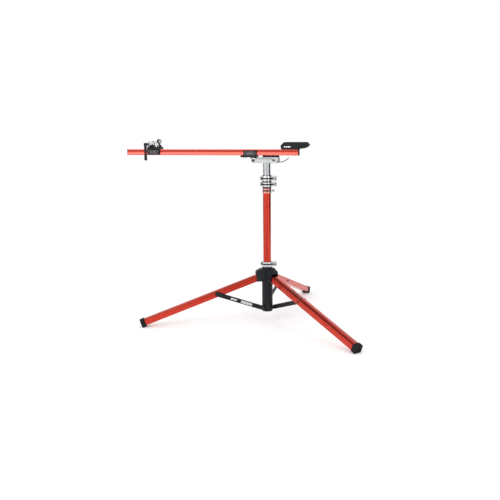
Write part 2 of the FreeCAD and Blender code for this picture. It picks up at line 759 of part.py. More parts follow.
def make_head():
    left = dim("tilt_reach")
    low = dim("head_bottom")
    top = dim("head_top")
    right = dim("head_right")
    pivot_z = dim("tilt_height")
    radius = dim("boss_radius")
    head = new_body("head")
    side = outline(head, "head_side", "XZ_Plane", [
        (left, pivot_z - radius),
        (left + 10, low),
        (right - 8, low),
        (right, low + 8),
        (right, top - 4),
        (right - 4, top),
        (dim("jaw_left"), top),
        (dim("jaw_left"), top - 9),
        (left + 11, pivot_z + radius - 4),
        (left, pivot_z + radius),
    ], bulges={9: (left - radius, pivot_z)}, limits=[(5, 1, "head_top")])
    pad(head, "head_block", side, "head_width", middle=True)

    def opening(name, corners, width):
        pocket(head, name, outline(head, f"{name}_outline", "XZ_Plane", corners), width, middle=True)

    def rectangle(x_low, z_low, x_high, z_high):
        return [(x_low, z_low), (x_high, z_low), (x_high, z_high), (x_low, z_high)]

    jaw = dim("jaw_left")
    opening("jaw_slot", rectangle(jaw - 1, top - 9.2, 40, top - 7.4), "head_width + 2")
    opening("window", rectangle(36, low + 11.5, 49, low + 19), "head_width + 2")
    opening("fork_slot", rectangle(left - 20, low - 5, jaw, top + 1), "2 * lug_half_width + 2 * saddle_play")
    opening("cam_slot", rectangle(50.5, low - 2, right + 1, low + 17), "cam_width + 1")
    cross_holes(head, "tilt_hole", [(left, pivot_z, "bolt_radius")])
    cross_holes(head, "cam_hole", [(dim("cam_x"), pivot_z - dim("cam_drop"), "rivet_radius")])
    bore = head.newObject("Sketcher::SketchObject", "post_bore_circle")
    bore.AttachmentSupport = [(plane_of(head, "XY_Plane"), "")]
    bore.MapMode = "FlatFace"
    bore.addGeometry(Part.Circle(FreeCAD.Vector(0, 0, 0), FreeCAD.Vector(0, 0, 1), dim("mast_bore")), False)
    rule = bore.addConstraint(Sketcher.Constraint("Radius", 0, dim("mast_bore")))
    bore.setExpression(f"Constraints[{rule}]", bound("mast_bore"))
    pocket(head, "post_socket", bore, "post_top + 0.3", back=True)
    keep("head_casting", head)

    half = "head_width / 2"
    pivot = [
        cylinder("tilt_shank", "bolt_radius", "head_width + 2", x="tilt_reach", y=f"-{half} - 1",
                 z="tilt_height", along="y"),
        cylinder("tilt_bolt_head", "tilt_head_radius", "tilt_head", x="tilt_reach",
                 y=f"-{half} - tilt_head - 0.1", z="tilt_height", along="y"),
        cylinder("tilt_bolt_nut", "tilt_head_radius", "tilt_nut", x="tilt_reach", y=f"{half} + 0.1",
                 z="tilt_height", along="y"),
    ]
    cam_z = "tilt_height - cam_drop"
    cam_pin = cylinder("cam_pin", "rivet_radius", "head_width", x="cam_x", y=f"-{half}", z=cam_z, along="y")
    keep("head_pins", group("head_pin_set", fuse("tilt_bolt", *pivot), cam_pin))

    strip = box("pad_strip", "pad_left", "-pad_half_width", "head_top + 0.1", "pad_length",
                "2 * pad_half_width", "pad_base")
    ridges = [box(f"pad_ridge_{i}", f"pad_left + 2 + {i} * pad_ridge_step", "1 - pad_half_width",
                  "head_top + 3", "pad_ridge_length", "2 * pad_half_width - 2", "pad_ridge")
              for i in range(4)]
    keep("head_pad", fuse("pad", strip, *ridges))

    swing = {"x": "cam_centre_x", "z": "cam_centre_z", "across": "y"}
    arm_out = sector("cam_arm_out", "cam_outer_radius", "cam_width", dim("cam_start"), "cam_sweep",
                     y="cam_width / 2", **swing)
    arm_in = sector("cam_arm_in", "cam_inner_radius", "cam_width + 2", dim("cam_start") - 9,
                    "cam_sweep + 21.5", y="cam_width / 2 + 1", **swing)
    cam_arm = cut("cam_arm", arm_out, arm_in)
    barrel = cylinder("cam_barrel", "cam_barrel_radius", "cam_width", x="cam_x", y="-cam_width / 2",
                      z=cam_z, along="y")
    hole = cylinder("cam_bore", "rivet_radius + fit_gap", 30, x="cam_x", y=-15, z=cam_z, along="y")
    keep("head_cam_lever", cut("cam_lever", fuse("cam_solid", cam_arm, barrel), hole))


# ---------------------------------------------------------------- beam, caps and cradle
def beam_outline(body, name, grow):
    """The beam's section: a square with eased corners and a wide shallow vee in each side."""
    half = dim("beam_size") / 2 + grow
    ease = 2.0
    land = 12.0
    waist = half - dim("beam_groove")
    right = [(half - ease, -half), (half, -half + ease), (half, -land), (waist, 0), (half, land),
             (half, half - ease), (half - ease, half)]
    left = [(-a, b) for a, b in reversed(right)]
    return outline(body, name, "YZ_Plane", right + left, limits=[(5, 0, f"beam_size / 2 + {grow}")])


def make_beam():
    beam = new_body("beam")
    skin = beam_outline(beam, "beam_skin", 0)
    skin.AttachmentOffset = FreeCAD.Placement(FreeCAD.Vector(0, 0, dim("beam_left")), FreeCAD.Rotation())
    pad(beam, "beam_pad", skin, "beam_right - beam_left")
    half = dim("beam_size") / 2 - dim("beam_wall") - dim("beam_groove")
    tall = dim("beam_size") / 2 - dim("beam_wall")
    corners = [(-half, -tall), (half, -tall), (half, tall), (-half, tall)]
    core = outline(beam, "beam_core", "YZ_Plane", corners)
    core.AttachmentOffset = FreeCAD.Placement(FreeCAD.Vector(0, 0, dim("beam_left") - 1), FreeCAD.Rotation())
    pocket(beam, "beam_hollow", core, "beam_right - beam_left + 2", back=True)
    drill = beam.newObject("Sketcher::SketchObject", "cradle_bolt_circles")
    drill.AttachmentSupport = [(plane_of(beam, "XY_Plane"), "")]
    drill.MapMode = "FlatFace"
    for place in CRADLE_BOLTS:
        circle = Part.Circle(FreeCAD.Vector(place, 0, 0), FreeCAD.Vector(0, 0, 1), dim_radius("rivet_radius"))
        drill.addGeometry(circle, False)
    pocket(beam, "cradle_bolt_holes", drill, "beam_size", back=True)
    beam.Placement.Base = FreeCAD.Vector(0, 0, dim("beam_height"))
    keep("beam_extrusion", beam)

    caps = []
    for side, start in (("left", "beam_left - cap_thick - 0.05"), ("right", "beam_right + 0.05")):
        cap = new_body(f"cap_{side}")
        edge = beam_outline(cap, f"cap_{side}_edge", 0.2)
        pad(cap, f"cap_{side}_pad", edge, "cap_thick")
        move(cap, start, 0, "beam_height")
        caps.append(cap)
    keep("beam_end_caps", group("caps", *caps))


CRADLE_BOLTS = (105.0, 150.0)


def make_cradle():
    base_z = dim("beam_height") + dim("beam_size") / 2 + 0.3
    top = dim("cradle_top")
    block = new_body("cradle_block")
    side = outline(block, "cradle_side", "XZ_Plane", [
        (85, base_z),
        (82, base_z + 13),
        (82, base_z + 21),
        (99, top),
        (215, top),
        (228, top - 11),
        (226, top - 20),
        (216, top - 28),
        (203, top - 31.5),
        (186, top - 32.5),
        (178, base_z),
    ], limits=[(3, 1, "cradle_top")])
    pad(block, "cradle_pad", side, "2 * cradle_half_width", middle=True)
    axis = "cradle_top + trough_rise"
    beam_roof = "beam_height + beam_size / 2"
    trough = cylinder("trough", "trough_radius + fit_gap", 200, x=60, z=axis, along="x")
    wells = [cylinder(f"well_{i}", "cradle_bolt_head + 0.4", 30, x=place, z=f"{beam_roof} + cradle_well")
             for i, place in enumerate(CRADLE_BOLTS)]
    drills = [cylinder(f"drill_{i}", "rivet_radius + fit_gap", 30, x=place, z=f"{beam_roof} - 5")
              for i, place in enumerate(CRADLE_BOLTS)]
    keep("cradle_base", cut("cradle", block, trough, *wells, *drills))

    liner_out = cylinder("liner_out", "trough_radius", "liner_length", x="liner_left", z=axis, along="x")
    liner_in = cylinder("liner_in", "trough_radius - trough_liner", "liner_length + 2", x="liner_left - 1",
                        z=axis, along="x")
    limit = box("liner_limit", "liner_left - 10", -30, "cradle_top - 20", "liner_length + 20", 60, 19.6)
    keep("cradle_liner", common("liner", cut("liner_shell", liner_out, liner_in), limit))

    bolts = []
    for i, place in enumerate(CRADLE_BOLTS):
        shank = cylinder(f"cradle_shank_{i}", "rivet_radius", "cradle_well + 12", x=place,
                         z=f"{beam_roof} - 11")
        head = cylinder(f"cradle_head_{i}", "cradle_bolt_head", "cradle_bolt_head", x=place,
                        z=f"{beam_roof} + cradle_well + 0.1")
        bolts.append(fuse(f"cradle_bolt_{i}", shank, head))
    keep("cradle_bolts", group("cradle_bolt_set", *bolts))


# ---------------------------------------------------------------- carriage that tilts on the head
def saddle_cheeks(name, left, right, low, high):
    """The two cheeks of a saddle bracket, each with a rib that runs in the beam's side vee."""
    inner = "beam_size / 2 + saddle_play"
    pieces = []
    for side, sign in (("near", -1), ("far", 1)):
        start = f"-({inner}) - saddle_wall" if sign < 0 else inner
        pieces.append(box(f"{name}_{side}_cheek", left, start, low, f"{right} - ({left})", "saddle_wall",
                          f"{high} - ({low})"))
        rib = f"-({inner}) - 0.1" if sign < 0 else f"{inner} - rib_thick + 0.1"
        pieces.append(box(f"{name}_{side}_rib", left, rib, "beam_height - rib_half_height",
                          f"{right} - ({left})", "rib_thick", "2 * rib_half_height"))
    return pieces


def badge(name, left, right, height):
    """A plain raised oblong plate on a saddle's near cheek."""
    face = "-beam_size / 2 - saddle_play - saddle_wall - badge_thick - 0.1"
    radius = dim("badge_radius")
    middle = box(f"{name}_middle", left + radius, face, height - radius, right - left - 2 * radius,
                 "badge_thick", 2 * radius)
    ends = [cylinder(f"{name}_end_{i}", "badge_radius", "badge_thick", x=place, y=face, z=height, along="y")
            for i, place in enumerate((left + radius, right - radius))]
    return fuse(f"{name}_plate", middle, *ends)


def make_carriage():
    width = "beam_size + 2 * saddle_play + 2 * saddle_wall"
    floor = box("carriage_floor_plate", "carriage_left", f"-({width}) / 2", "carriage_floor",
                "carriage_right - carriage_left", width,
                "beam_height - beam_size / 2 - saddle_play - carriage_floor")
    cheeks = saddle_cheeks("carriage", "carriage_cheek_left", "carriage_right", "carriage_floor + 1",
                           "carriage_lip")
    lug = new_body("tilt_lug")
    pivot_x = dim("tilt_reach")
    pivot_z = dim("tilt_height")
    under = dim("carriage_floor") + 0.5
    reach = dim("tilt_lug_radius")
    side = outline(lug, "tilt_lug_side", "XZ_Plane", [
        (pivot_x - reach, pivot_z), (pivot_x + reach, pivot_z), (pivot_x + 13, under), (pivot_x - 20, under),
    ], bulges={0: (pivot_x, pivot_z - reach)}, limits=[(2, 1, "carriage_floor + 0.5")])
    pad(lug, "tilt_lug_pad", side, "2 * lug_half_width", middle=True)
    hole = cylinder("lug_bore", "bolt_radius + fit_gap", 40, x="tilt_reach", y=-20, z="tilt_height",
                    along="y")
    keep("carriage_bracket", cut("carriage", fuse("carriage_solid", floor, lug, *cheeks), hole))
    keep("carriage_badge", badge("carriage_badge_body", -118, -56, 922.5))
    screws = [cylinder(f"carriage_screw_{i}", "carriage_screw_radius", "carriage_screw",
                       x=f"carriage_screw_left + {i} * carriage_screw_step",
                       z="carriage_floor - carriage_screw - 0.1") for i in range(2)]
    keep("carriage_screws", group("carriage_screw_set", *screws))


# ---------------------------------------------------------------- fork mount
def make_slider():
    width = "beam_size + 2 * saddle_play + 2 * saddle_wall"
    top = "beam_height + beam_size / 2 + saddle_play"
    roof = box("slider_roof_plate", "slider_left", f"-({width}) / 2", top,
               "slider_right - slider_left", width, f"slider_roof - ({top})")
    cheeks = saddle_cheeks("slider", "slider_left", "slider_cheek_right", "slider_lip", f"{top} + 1")
    tower = new_body("tower")
    axle_x = dim("fork_x")
    roof_z = dim("slider_roof") - 1
    axle_z = dim("fork_z")
    side = outline(tower, "tower_side", "XZ_Plane", [
        (axle_x - 14, roof_z), (axle_x + 30, roof_z), (axle_x + 23, roof_z + 4), (axle_x + 16, axle_z - 5),
        (axle_x + 8, axle_z - 5), (axle_x - 14, axle_z - 10),
    ], limits=[(3, 1, "fork_z - 5")])
    pad(tower, "tower_pad", side, 30, middle=True)
    seat = cylinder("drum_seat", "drum_radius - 2.95", 60, x="fork_x", y=-30, z="fork_z", along="y")
    ears = [box(f"lever_ear_{sign + 1}", "clamp_x - 9", 9 * sign - 2, "slider_roof - 1", 18, 4,
                "clamp_rise + 7") for sign in (-1, 1)]
    pin_z = "slider_roof + clamp_rise"
    pin_hole = cylinder("lever_pin_hole", "skewer_radius + fit_gap", 40, x="clamp_x", y=-20, z=pin_z,
                        along="y")
    solid = fuse("slider_solid", roof, tower, *ears, *cheeks)
    keep("slider_body", cut("slider", solid, seat, pin_hole))
    keep("slider_badge", badge("slider_badge_body", -668, -610, 929))

    barrel = cylinder("drum_waist", "drum_radius - 3", "2 * fork_half_span - 10", x="fork_x",
                      y="5 - fork_half_span", z="fork_z", along="y")
    flanges = []
    stubs = []
    for side_name, start, stub in (("near", "-fork_half_span", "-fork_half_span - dropout_gap + 0.5"),
                                   ("far", "fork_half_span - 30", "fork_half_span - 0.5")):
        flanges.append(cylinder(f"drum_{side_name}", "drum_radius", 30, x="fork_x", y=start, z="fork_z",
                                along="y"))
        stubs.append(cylinder(f"stub_{side_name}", "dropout_radius", "dropout_gap", x="fork_x", y=stub,
                              z="fork_z", along="y"))
    bore = cylinder("drum_bore", "skewer_radius + fit_gap", 160, x="fork_x", y=-80, z="fork_z", along="y")
    keep("fork_drum", cut("drum", fuse("drum_solid", barrel, *flanges, *stubs), bore))
    keep("slider_lever_pin", cylinder("lever_pin", "skewer_radius", 24, x="clamp_x", y=-12, z=pin_z,
                                      along="y"))


def make_fork_skewer():
    face = "fork_half_span + dropout_gap"
    rod = cylinder("fork_rod", "skewer_radius", f"2 * ({face}) + 18", x="fork_x", y=f"-({face}) - 6",
                   z="fork_z", along="y")
    cup = cylinder("fork_cup", "cup_radius", "cup_thick", x="fork_x", y=f"-({face}) - cup_thick",
                   z="fork_z", along="y")
    keep("fork_skewer_rod", fuse("fork_rod_set", rod, cup))

    wheel = cylinder("nut_wheel", "fork_nut_radius", "fork_nut", x="fork_x", y=face, z="fork_z", along="y")
    thread = cylinder("nut_thread", "skewer_radius + fit_gap", 30, x="fork_x", y=f"{face} - 5", z="fork_z",
                      along="y")
    keep("fork_skewer_nut", cut("fork_nut_cut", wheel, thread))

    pivot_y = f"-({face}) - fork_cam_reach"
    barrel = cylinder("fork_cam", "fork_cam_radius", "blade_width", x="fork_x - blade_width / 2", y=pivot_y,
                      z="fork_z", along="x")
    blade = box("fork_blade", "fork_x - blade_width / 2", f"{pivot_y} - 5", "fork_z - blade_length",
                "blade_width", "blade_thick", "blade_length")
    tip = cylinder("fork_tip", "blade_width / 2", "blade_thick", x="fork_x", y=f"{pivot_y} - 5",
                   z="fork_z - blade_length", along="y")
    keep("fork_cam_lever", fuse("fork_lever", barrel, blade, tip))


def knob_cylinder(name, radius, length, start):
    """A cylinder of the clamp lever's head, which faces between the near side and the cradle."""
    turn = turned(dim("knob_turn"))
    obj = cylinder(name, radius, length)
    obj.Placement.Rotation = turn.multiply(AXES["y"])
    offset = turn.multVec(FreeCAD.Vector(0, start, 0))
    move(obj, f"knob_x + {offset.x}", offset.y, "slider_roof + knob_rise")
    return obj


def make_slider_lever():
    pin_z = "slider_roof + clamp_rise"
    barrel = cylinder("clamp_barrel_body", "clamp_barrel_radius", "clamp_barrel", x="clamp_x",
                      y="-clamp_barrel / 2", z=pin_z, along="y")
    stem = box("clamp_stem_body", "clamp_x - clamp_stem / 2", "-clamp_stem / 2", pin_z, "clamp_stem",
               "clamp_stem", "clamp_stem_length")
    half = dim("knob_head") / 2
    head = knob_cylinder("clamp_head", "knob_head_radius", "knob_head", -half)
    hole = cylinder("clamp_hole", "skewer_radius + fit_gap", 40, x="clamp_x", y=-20, z=pin_z, along="y")
    keep("slider_clamp_lever", cut("clamp_lever", fuse("clamp_solid", barrel, stem, head), hole))
    keep("slider_lever_disc", knob_cylinder("clamp_disc", "knob_disc_radius", "knob_disc",
                                            -half - dim("knob_disc") - 0.1))


# ---------------------------------------------------------------- build, check and write
make_mast()
make_hub()
for leg_number in (1, 2, 3):
    make_leg(leg_number)
    make_strut(leg_number)
make_collar(1, "ring_one_bottom", "ring_one_height", "mast_radius + fit_gap")
make_collar(2, "ring_two_bottom", "ring_two_height", "mast_radius + fit_gap")
make_collar(3, "ring_three_bottom", "ring_three_height", "neck_radius + fit_gap")
make_post()
make_head()
make_beam()
make_cradle()
make_carriage()
make_slider()
make_fork_skewer()
make_slider_lever()
doc.recompute()

for obj in doc.Objects:
    if "Invalid" in obj.State or "Error" in obj.State:
        raise RuntimeError(f"{obj.Name} failed: {obj.State}")
for node, obj in kept.items():
    if obj.Shape.isNull() or not obj.Shape.isValid():
        raise RuntimeError(f"{node} has no valid shape")

os.makedirs("parts", exist_ok=True)
for node, obj in kept.items():
    obj.Shape.exportStep(f"parts/{node}.step")
print(f"{len(kept)} nodes written")
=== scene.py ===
import json
import math

import bmesh
import bpy
from mathutils import Matrix, Vector


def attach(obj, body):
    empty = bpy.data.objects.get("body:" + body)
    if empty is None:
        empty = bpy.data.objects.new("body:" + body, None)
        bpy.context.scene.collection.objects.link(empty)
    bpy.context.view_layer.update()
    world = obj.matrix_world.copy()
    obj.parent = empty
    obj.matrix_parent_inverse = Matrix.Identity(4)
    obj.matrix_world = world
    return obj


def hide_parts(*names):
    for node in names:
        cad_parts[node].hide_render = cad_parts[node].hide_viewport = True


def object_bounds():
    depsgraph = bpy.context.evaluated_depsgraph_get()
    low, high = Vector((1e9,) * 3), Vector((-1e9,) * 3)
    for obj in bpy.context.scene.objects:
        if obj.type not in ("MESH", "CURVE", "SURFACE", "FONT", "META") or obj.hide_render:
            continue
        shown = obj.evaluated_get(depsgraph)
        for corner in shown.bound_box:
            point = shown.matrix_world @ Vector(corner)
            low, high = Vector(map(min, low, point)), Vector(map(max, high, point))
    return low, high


# A folding bicycle repair stand. Shapes are drawn in millimetres, most of them in a frame of their own
# whose Z runs along the piece. Their places and outer sizes are read from the CAD nodes that they stand
# for, and the numbers in a profile are the small sizes that a node's box doesn't give.
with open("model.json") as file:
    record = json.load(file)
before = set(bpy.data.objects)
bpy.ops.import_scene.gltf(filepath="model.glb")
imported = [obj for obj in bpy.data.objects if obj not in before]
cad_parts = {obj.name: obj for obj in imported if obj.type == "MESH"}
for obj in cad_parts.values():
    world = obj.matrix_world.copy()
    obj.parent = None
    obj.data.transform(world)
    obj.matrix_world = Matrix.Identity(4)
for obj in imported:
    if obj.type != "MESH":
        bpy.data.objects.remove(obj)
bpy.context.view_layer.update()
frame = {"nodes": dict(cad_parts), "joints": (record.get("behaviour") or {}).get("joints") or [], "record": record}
record = frame["record"]
body_of = {node: body for body, nodes in record["behaviour"]["bodies"].items() for node in nodes}
joints = {joint["name"]: joint for joint in frame["joints"]}

MM = 0.001
TINY = 1e-6
LEGS = (1, 2, 3)
CLAMP_JOINTS = {1: "height_lever_swing", 2: "swivel_lever_swing", 3: "hub_lever_swing"}
X, Y, Z = Vector((1, 0, 0)), Vector((0, 1, 0)), Vector((0, 0, 1))


# ---------------------------------------------------------------- frames and measures
def axes(origin, along, across):
    """A local frame at origin (metres): Z runs along, X across, and Y completes it."""
    z = Vector(along).normalized()
    x = (Vector(across) - z * z.dot(Vector(across))).normalized()
    y = z.cross(x)
    turn = Matrix((x, y, z)).transposed().to_4x4()
    return Matrix.Translation(origin) @ turn


UPRIGHT = Matrix.Identity(4)


def extent(node, place=UPRIGHT):
    """The node's lowest and highest corners in a local frame, in millimetres."""
    back = place.inverted()
    points = [back @ v.co for v in frame["nodes"][node].data.vertices]
    low = Vector([min(p[k] for p in points) for k in range(3)]) / MM
    high = Vector([max(p[k] for p in points) for k in range(3)]) / MM
    return low, high


def middle(node, place=UPRIGHT):
    low, high = extent(node, place)
    return (low + high) / 2


def eased(points, radius, closed=True, steps=4):
    """An outline whose corners are rounded. A point's third number, where it has one, is its own radius."""
    smallest = 1e-4
    longest_share = 0.49
    result = []
    count = len(points)
    for i, point in enumerate(points):
        here = Vector(point[:2])
        reach = point[2] if len(point) > 2 else radius
        if not closed and i in (0, count - 1):
            result.append(here)
            continue
        before = Vector(points[i - 1][:2]) - here
        after = Vector(points[(i + 1) % count][:2]) - here
        reach = min(reach, longest_share * before.length, longest_share * after.length)
        if reach < smallest:
            result.append(here)
            continue
        start = here + before.normalized() * reach
        end = here + after.normalized() * reach
        for k in range(steps + 1):
            t = k / steps
            result.append(start * (1 - t) ** 2 + here * 2 * t * (1 - t) + end * t * t)
    return result


# ---------------------------------------------------------------- shapes: (points, faces) in millimetres
def hexed(angle):
    """The outline of a hexagon, as a share of its corner's radius."""
    return math.cos(math.pi / 6) / math.cos(angle % (math.pi / 3) - math.pi / 6)


def knurled(count, depth):
    """A ring with grooves across it, for fingers."""
    return lambda angle: 1 - depth * (0.5 - 0.5 * math.cos(count * angle)) ** 2


def lathe(profile, ease=0.4, steps=96):
    """A shape turned about Z. A profile point is (radius, height[, corner radius[, outline]])."""
    closed = all(p[0] > 0 for p in profile)
    rings = []
    count = len(profile)
    for i, point in enumerate(profile):
        outline = point[3] if len(point) > 3 else None
        own = point[2] if len(point) > 2 and point[2] is not None else ease
        here = (point[0], point[1], own)
        if not closed and i in (0, count - 1):
            rings.append((point[0], point[1], outline))
            continue
        trio = [profile[i - 1][:2], here, profile[(i + 1) % count][:2]]
        for spot in eased(trio, own, closed=False)[1:-1]:
            rings.append((spot[0], spot[1], outline))
    points, faces, starts = [], [], []
    for radius, height, outline in rings:
        starts.append(len(points))
        if radius < TINY:
            points.append((0, 0, height))
            continue
        for k in range(steps):
            angle = 2 * math.pi * k / steps
            reach = radius * (outline(angle) if outline else 1)
            points.append((reach * math.cos(angle), reach * math.sin(angle), height))
    pairs = list(zip(range(len(rings)), range(1, len(rings))))
    if closed:
        pairs.append((len(rings) - 1, 0))
    for a, b in pairs:
        for k in range(steps):
            after = (k + 1) % steps
            low = [starts[a]] if rings[a][0] < TINY else [starts[a] + k, starts[a] + after]
            high = [starts[b]] if rings[b][0] < TINY else [starts[b] + after, starts[b] + k]
            if len(low) + len(high) > 2:
                faces.append(low + high)
    return points, faces


def rod(radius, low, high, ease=0.4):
    """A solid cylinder."""
    return lathe([(0, low), (radius, low), (radius, high), (0, high)], ease=ease)


def tube(bore, radius, low, high, ease=0.4, steps=96):
    """A hollow cylinder."""
    return lathe([(bore, low), (radius, low), (radius, high), (bore, high)], ease=ease, steps=steps)


def prism(outline, low, high, hole=None, ease=0.6):
    """An outline, with or without a hole, drawn along Z, with its end edges rounded."""
    end_angle = 1.2
    bm = bmesh.new()
    loops = []
    for ring in (outline, hole):
        if not ring:
            continue
        ends = [[bm.verts.new((p[0], p[1], z)) for p in ring] for z in (low, high)]
        for i in range(len(ring)):
            j = (i + 1) % len(ring)
            bm.faces.new((ends[0][i], ends[0][j], ends[1][j], ends[1][i]))
        loops.append(ends)
    for end in (0, 1):
        if hole:
            rims = [bm.edges.get((ring[end][i - 1], ring[end][i]))
                    for ring in loops for i in range(len(ring[end]))]
            bmesh.ops.triangle_fill(bm, edges=rims, use_beauty=True)
        else:
            bm.faces.new(loops[0][end])
    bmesh.ops.recalc_face_normals(bm, faces=bm.faces)
    if ease:
        rims = [e for e in bm.edges
                if len(e.link_faces) == 2 and abs(e.verts[0].co.z - e.verts[1].co.z) < TINY
                and e.calc_face_angle() > end_angle]
        bmesh.ops.bevel(bm, geom=rims, offset=ease, segments=3, profile=0.5, affect="EDGES")
    bm.verts.index_update()
    points = [tuple(v.co) for v in bm.verts]
    faces = [[v.index for v in f.verts] for f in bm.faces]
    bm.free()
    return points, faces


def swept(line, side, width, thickness, square=0.45, blunt=0.9):
    """A bar along line(t), with side(t) across it; width(t) and thickness(t) are its whole sizes."""
    count, ring = 44, 32
    nudge = 0.01
    bluntest = 0.02
    steps = [(1 - math.cos(math.pi * i / count)) / 2 for i in range(count + 1)]
    spots = [Vector(line(t)) for t in steps]
    run = [0.0]
    for a, b in zip(spots, spots[1:]):
        run.append(run[-1] + (b - a).length)
    points, faces = [], []
    for i, t in enumerate(steps):
        ahead = (Vector(line(min(1, t + nudge))) - Vector(line(max(0, t - nudge)))).normalized()
        across = Vector(side(t))
        across = (across - ahead * ahead.dot(across)).normalized()
        up = ahead.cross(across)
        rounding = blunt * thickness(t) / 2
        near = min(run[i], run[-1] - run[i]) / rounding if rounding else 1
        close = 1 if near >= 1 else math.sqrt(max(bluntest, 1 - (1 - near) ** 2))
        half_width = width(t) / 2 - rounding * (1 - close)
        half_thick = thickness(t) / 2 * close
        for k in range(ring):
            angle = 2 * math.pi * k / ring
            c, s = math.cos(angle), math.sin(angle)
            a = math.copysign(abs(c) ** square, c) * half_width
            b = math.copysign(abs(s) ** square, s) * half_thick
            points.append(tuple(spots[i] + across * a + up * b))
    for i in range(count):
        for k in range(ring):
            after = (k + 1) % ring
            faces.append([i * ring + k, i * ring + after, (i + 1) * ring + after, (i + 1) * ring + k])
    faces.append(list(range(ring)))
    faces.append(list(range(count * ring, (count + 1) * ring)))
    return points, faces


def placed(shape, place):
    """The shape moved by a matrix whose lengths are in millimetres."""
    points, faces = shape
    return [tuple(place @ Vector(p)) for p in points], faces


def moved(shape, x=0, y=0, z=0):
    return placed(shape, Matrix.Translation((x, y, z)))


def facing(shape, along, across, x=0, y=0, z=0):
    """The shape with its Z turned to point along a direction, at a point in millimetres."""
    return placed(shape, axes((x, y, z), along, across))


def joined(*shapes):
    points, faces = [], []
    for more_points, more_faces in shapes:
        start = len(points)
        points += more_points
        faces += [[start + i for i in face] for face in more_faces]
    return points, faces


# ---------------------------------------------------------------- pieces
SHARP = math.radians(38)
SAME_POINT = 1e-7
SAME_CAD_POINT = 2e-6


def mesh_from(shape, name):
    """A mesh in metres with outward normals, smooth faces and its real corners kept sharp."""
    points, faces = shape
    bm = bmesh.new()
    verts = [bm.verts.new([c * MM for c in p]) for p in points]
    for face in faces:
        corners = [verts[i] for i in dict.fromkeys(face)]
        if len(corners) > 2:
            bm.faces.new(corners)
    bmesh.ops.remove_doubles(bm, verts=bm.verts, dist=SAME_POINT)
    bmesh.ops.recalc_face_normals(bm, faces=bm.faces)
    for face in bm.faces:
        face.smooth = True
    for edge in bm.edges:
        edge.smooth = len(edge.link_faces) == 2 and edge.calc_face_angle() < SHARP
    mesh = bpy.data.meshes.new(name)
    bm.to_mesh(mesh)
    bm.free()
    return mesh


def piece(name, mesh, node, finish, place=UPRIGHT, stands=True):
    """Puts a mesh in the scene as a piece of the node's body, in place of the node if it stands for it."""
    mesh.materials.append(finish)
    obj = bpy.data.objects.new(name, mesh)
    bpy.context.scene.collection.objects.link(obj)
    obj.matrix_world = place
    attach(obj, body_of[node])
    if stands:
        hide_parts(node)
    return obj


def make(node, shape, finish, place=UPRIGHT):
    """A drawn piece that stands for its node."""
    obj = piece(f"{node}_fine", mesh_from(shape, node), node, finish, place)
    weighted = obj.modifiers.new("weighted", "WEIGHTED_NORMAL")
    weighted.keep_sharp = True
    return obj


def trim(name, node, shape, finish, place=UPRIGHT):
    """A thin printed or inlaid mark, or a black fill as painted shade, on a node that stays its own piece."""
    return piece(name, mesh_from(shape, name), node, finish, place, stands=False)


def evaluated(obj):
    """The object's mesh with its modifiers applied."""
    graph = bpy.context.evaluated_depsgraph_get()
    return bpy.data.meshes.new_from_object(obj.evaluated_get(graph))


def cast(node, finish, grain=0.6, rounds=4, faces=36000):
    """A casting or moulding: the node's own shape with soft edges, thinned to about so many triangles."""
    bm = bmesh.new()
    bm.from_mesh(frame["nodes"][node].data)
    bmesh.ops.remove_doubles(bm, verts=bm.verts, dist=SAME_CAD_POINT)
    mesh = bpy.data.meshes.new(node)
    bm.to_mesh(mesh)
    bm.free()
    raw = bpy.data.objects.new(f"{node}_raw", mesh)
    bpy.context.scene.collection.objects.link(raw)
    remesh = raw.modifiers.new("grain", "REMESH")
    remesh.mode = "VOXEL"
    remesh.voxel_size = grain * MM
    soften = raw.modifiers.new("soften", "SMOOTH")
    soften.factor = 0.5
    soften.iterations = rounds
    mesh = evaluated(raw)
    raw.modifiers.clear()
    raw.data = mesh
    if len(mesh.polygons) > faces / 2:
        thin = raw.modifiers.new("thin", "DECIMATE")
        thin.ratio = faces / 2 / len(mesh.polygons)
        mesh = evaluated(raw)
    bpy.data.objects.remove(raw)
    mesh.shade_smooth()
    return piece(f"{node}_fine", mesh, node, finish)


def painted_shade_faces(obj, finish, inside):
    """Gives the faces whose middle passes a test made in millimetres another material, as painted shade."""
    obj.data.materials.append(finish)
    for face in obj.data.polygons:
        if inside(face.center / MM):
            face.material_index = 1


# ---------------------------------------------------------------- materials
def blank(name):
    material = bpy.data.materials.new(name)
    material.use_nodes = True
    tree = material.node_tree
    tree.nodes.clear()
    shader = tree.nodes.new("ShaderNodeBsdfPrincipled")
    output = tree.nodes.new("ShaderNodeOutputMaterial")
    tree.links.new(shader.outputs["BSDF"], output.inputs["Surface"])
    return material, tree, shader


def grainy(tree, stretch, scale, detail=3.0, rough=0.55):
    """Noise in the piece's own frame, stretched by a scale for each axis."""
    place = tree.nodes.new("ShaderNodeTexCoord")
    spread = tree.nodes.new("ShaderNodeMapping")
    spread.inputs["Scale"].default_value = stretch
    noise = tree.nodes.new("ShaderNodeTexNoise")
    noise.inputs["Scale"].default_value = scale
    noise.inputs["Detail"].default_value = detail
    noise.inputs["Roughness"].default_value = rough
    tree.links.new(place.outputs["Object"], spread.inputs["Vector"])
    tree.links.new(spread.outputs["Vector"], noise.inputs["Vector"])
    return noise.outputs["Fac"]


def ranged(tree, value, low, high):
    """Maps a noise from its usual spread to a range."""
    node = tree.nodes.new("ShaderNodeMapRange")
    node.inputs["From Min"].default_value = 0.3
    node.inputs["From Max"].default_value = 0.7
    node.inputs["To Min"].default_value = low
    node.inputs["To Max"].default_value = high
    tree.links.new(value, node.inputs["Value"])
    return node.outputs["Result"]


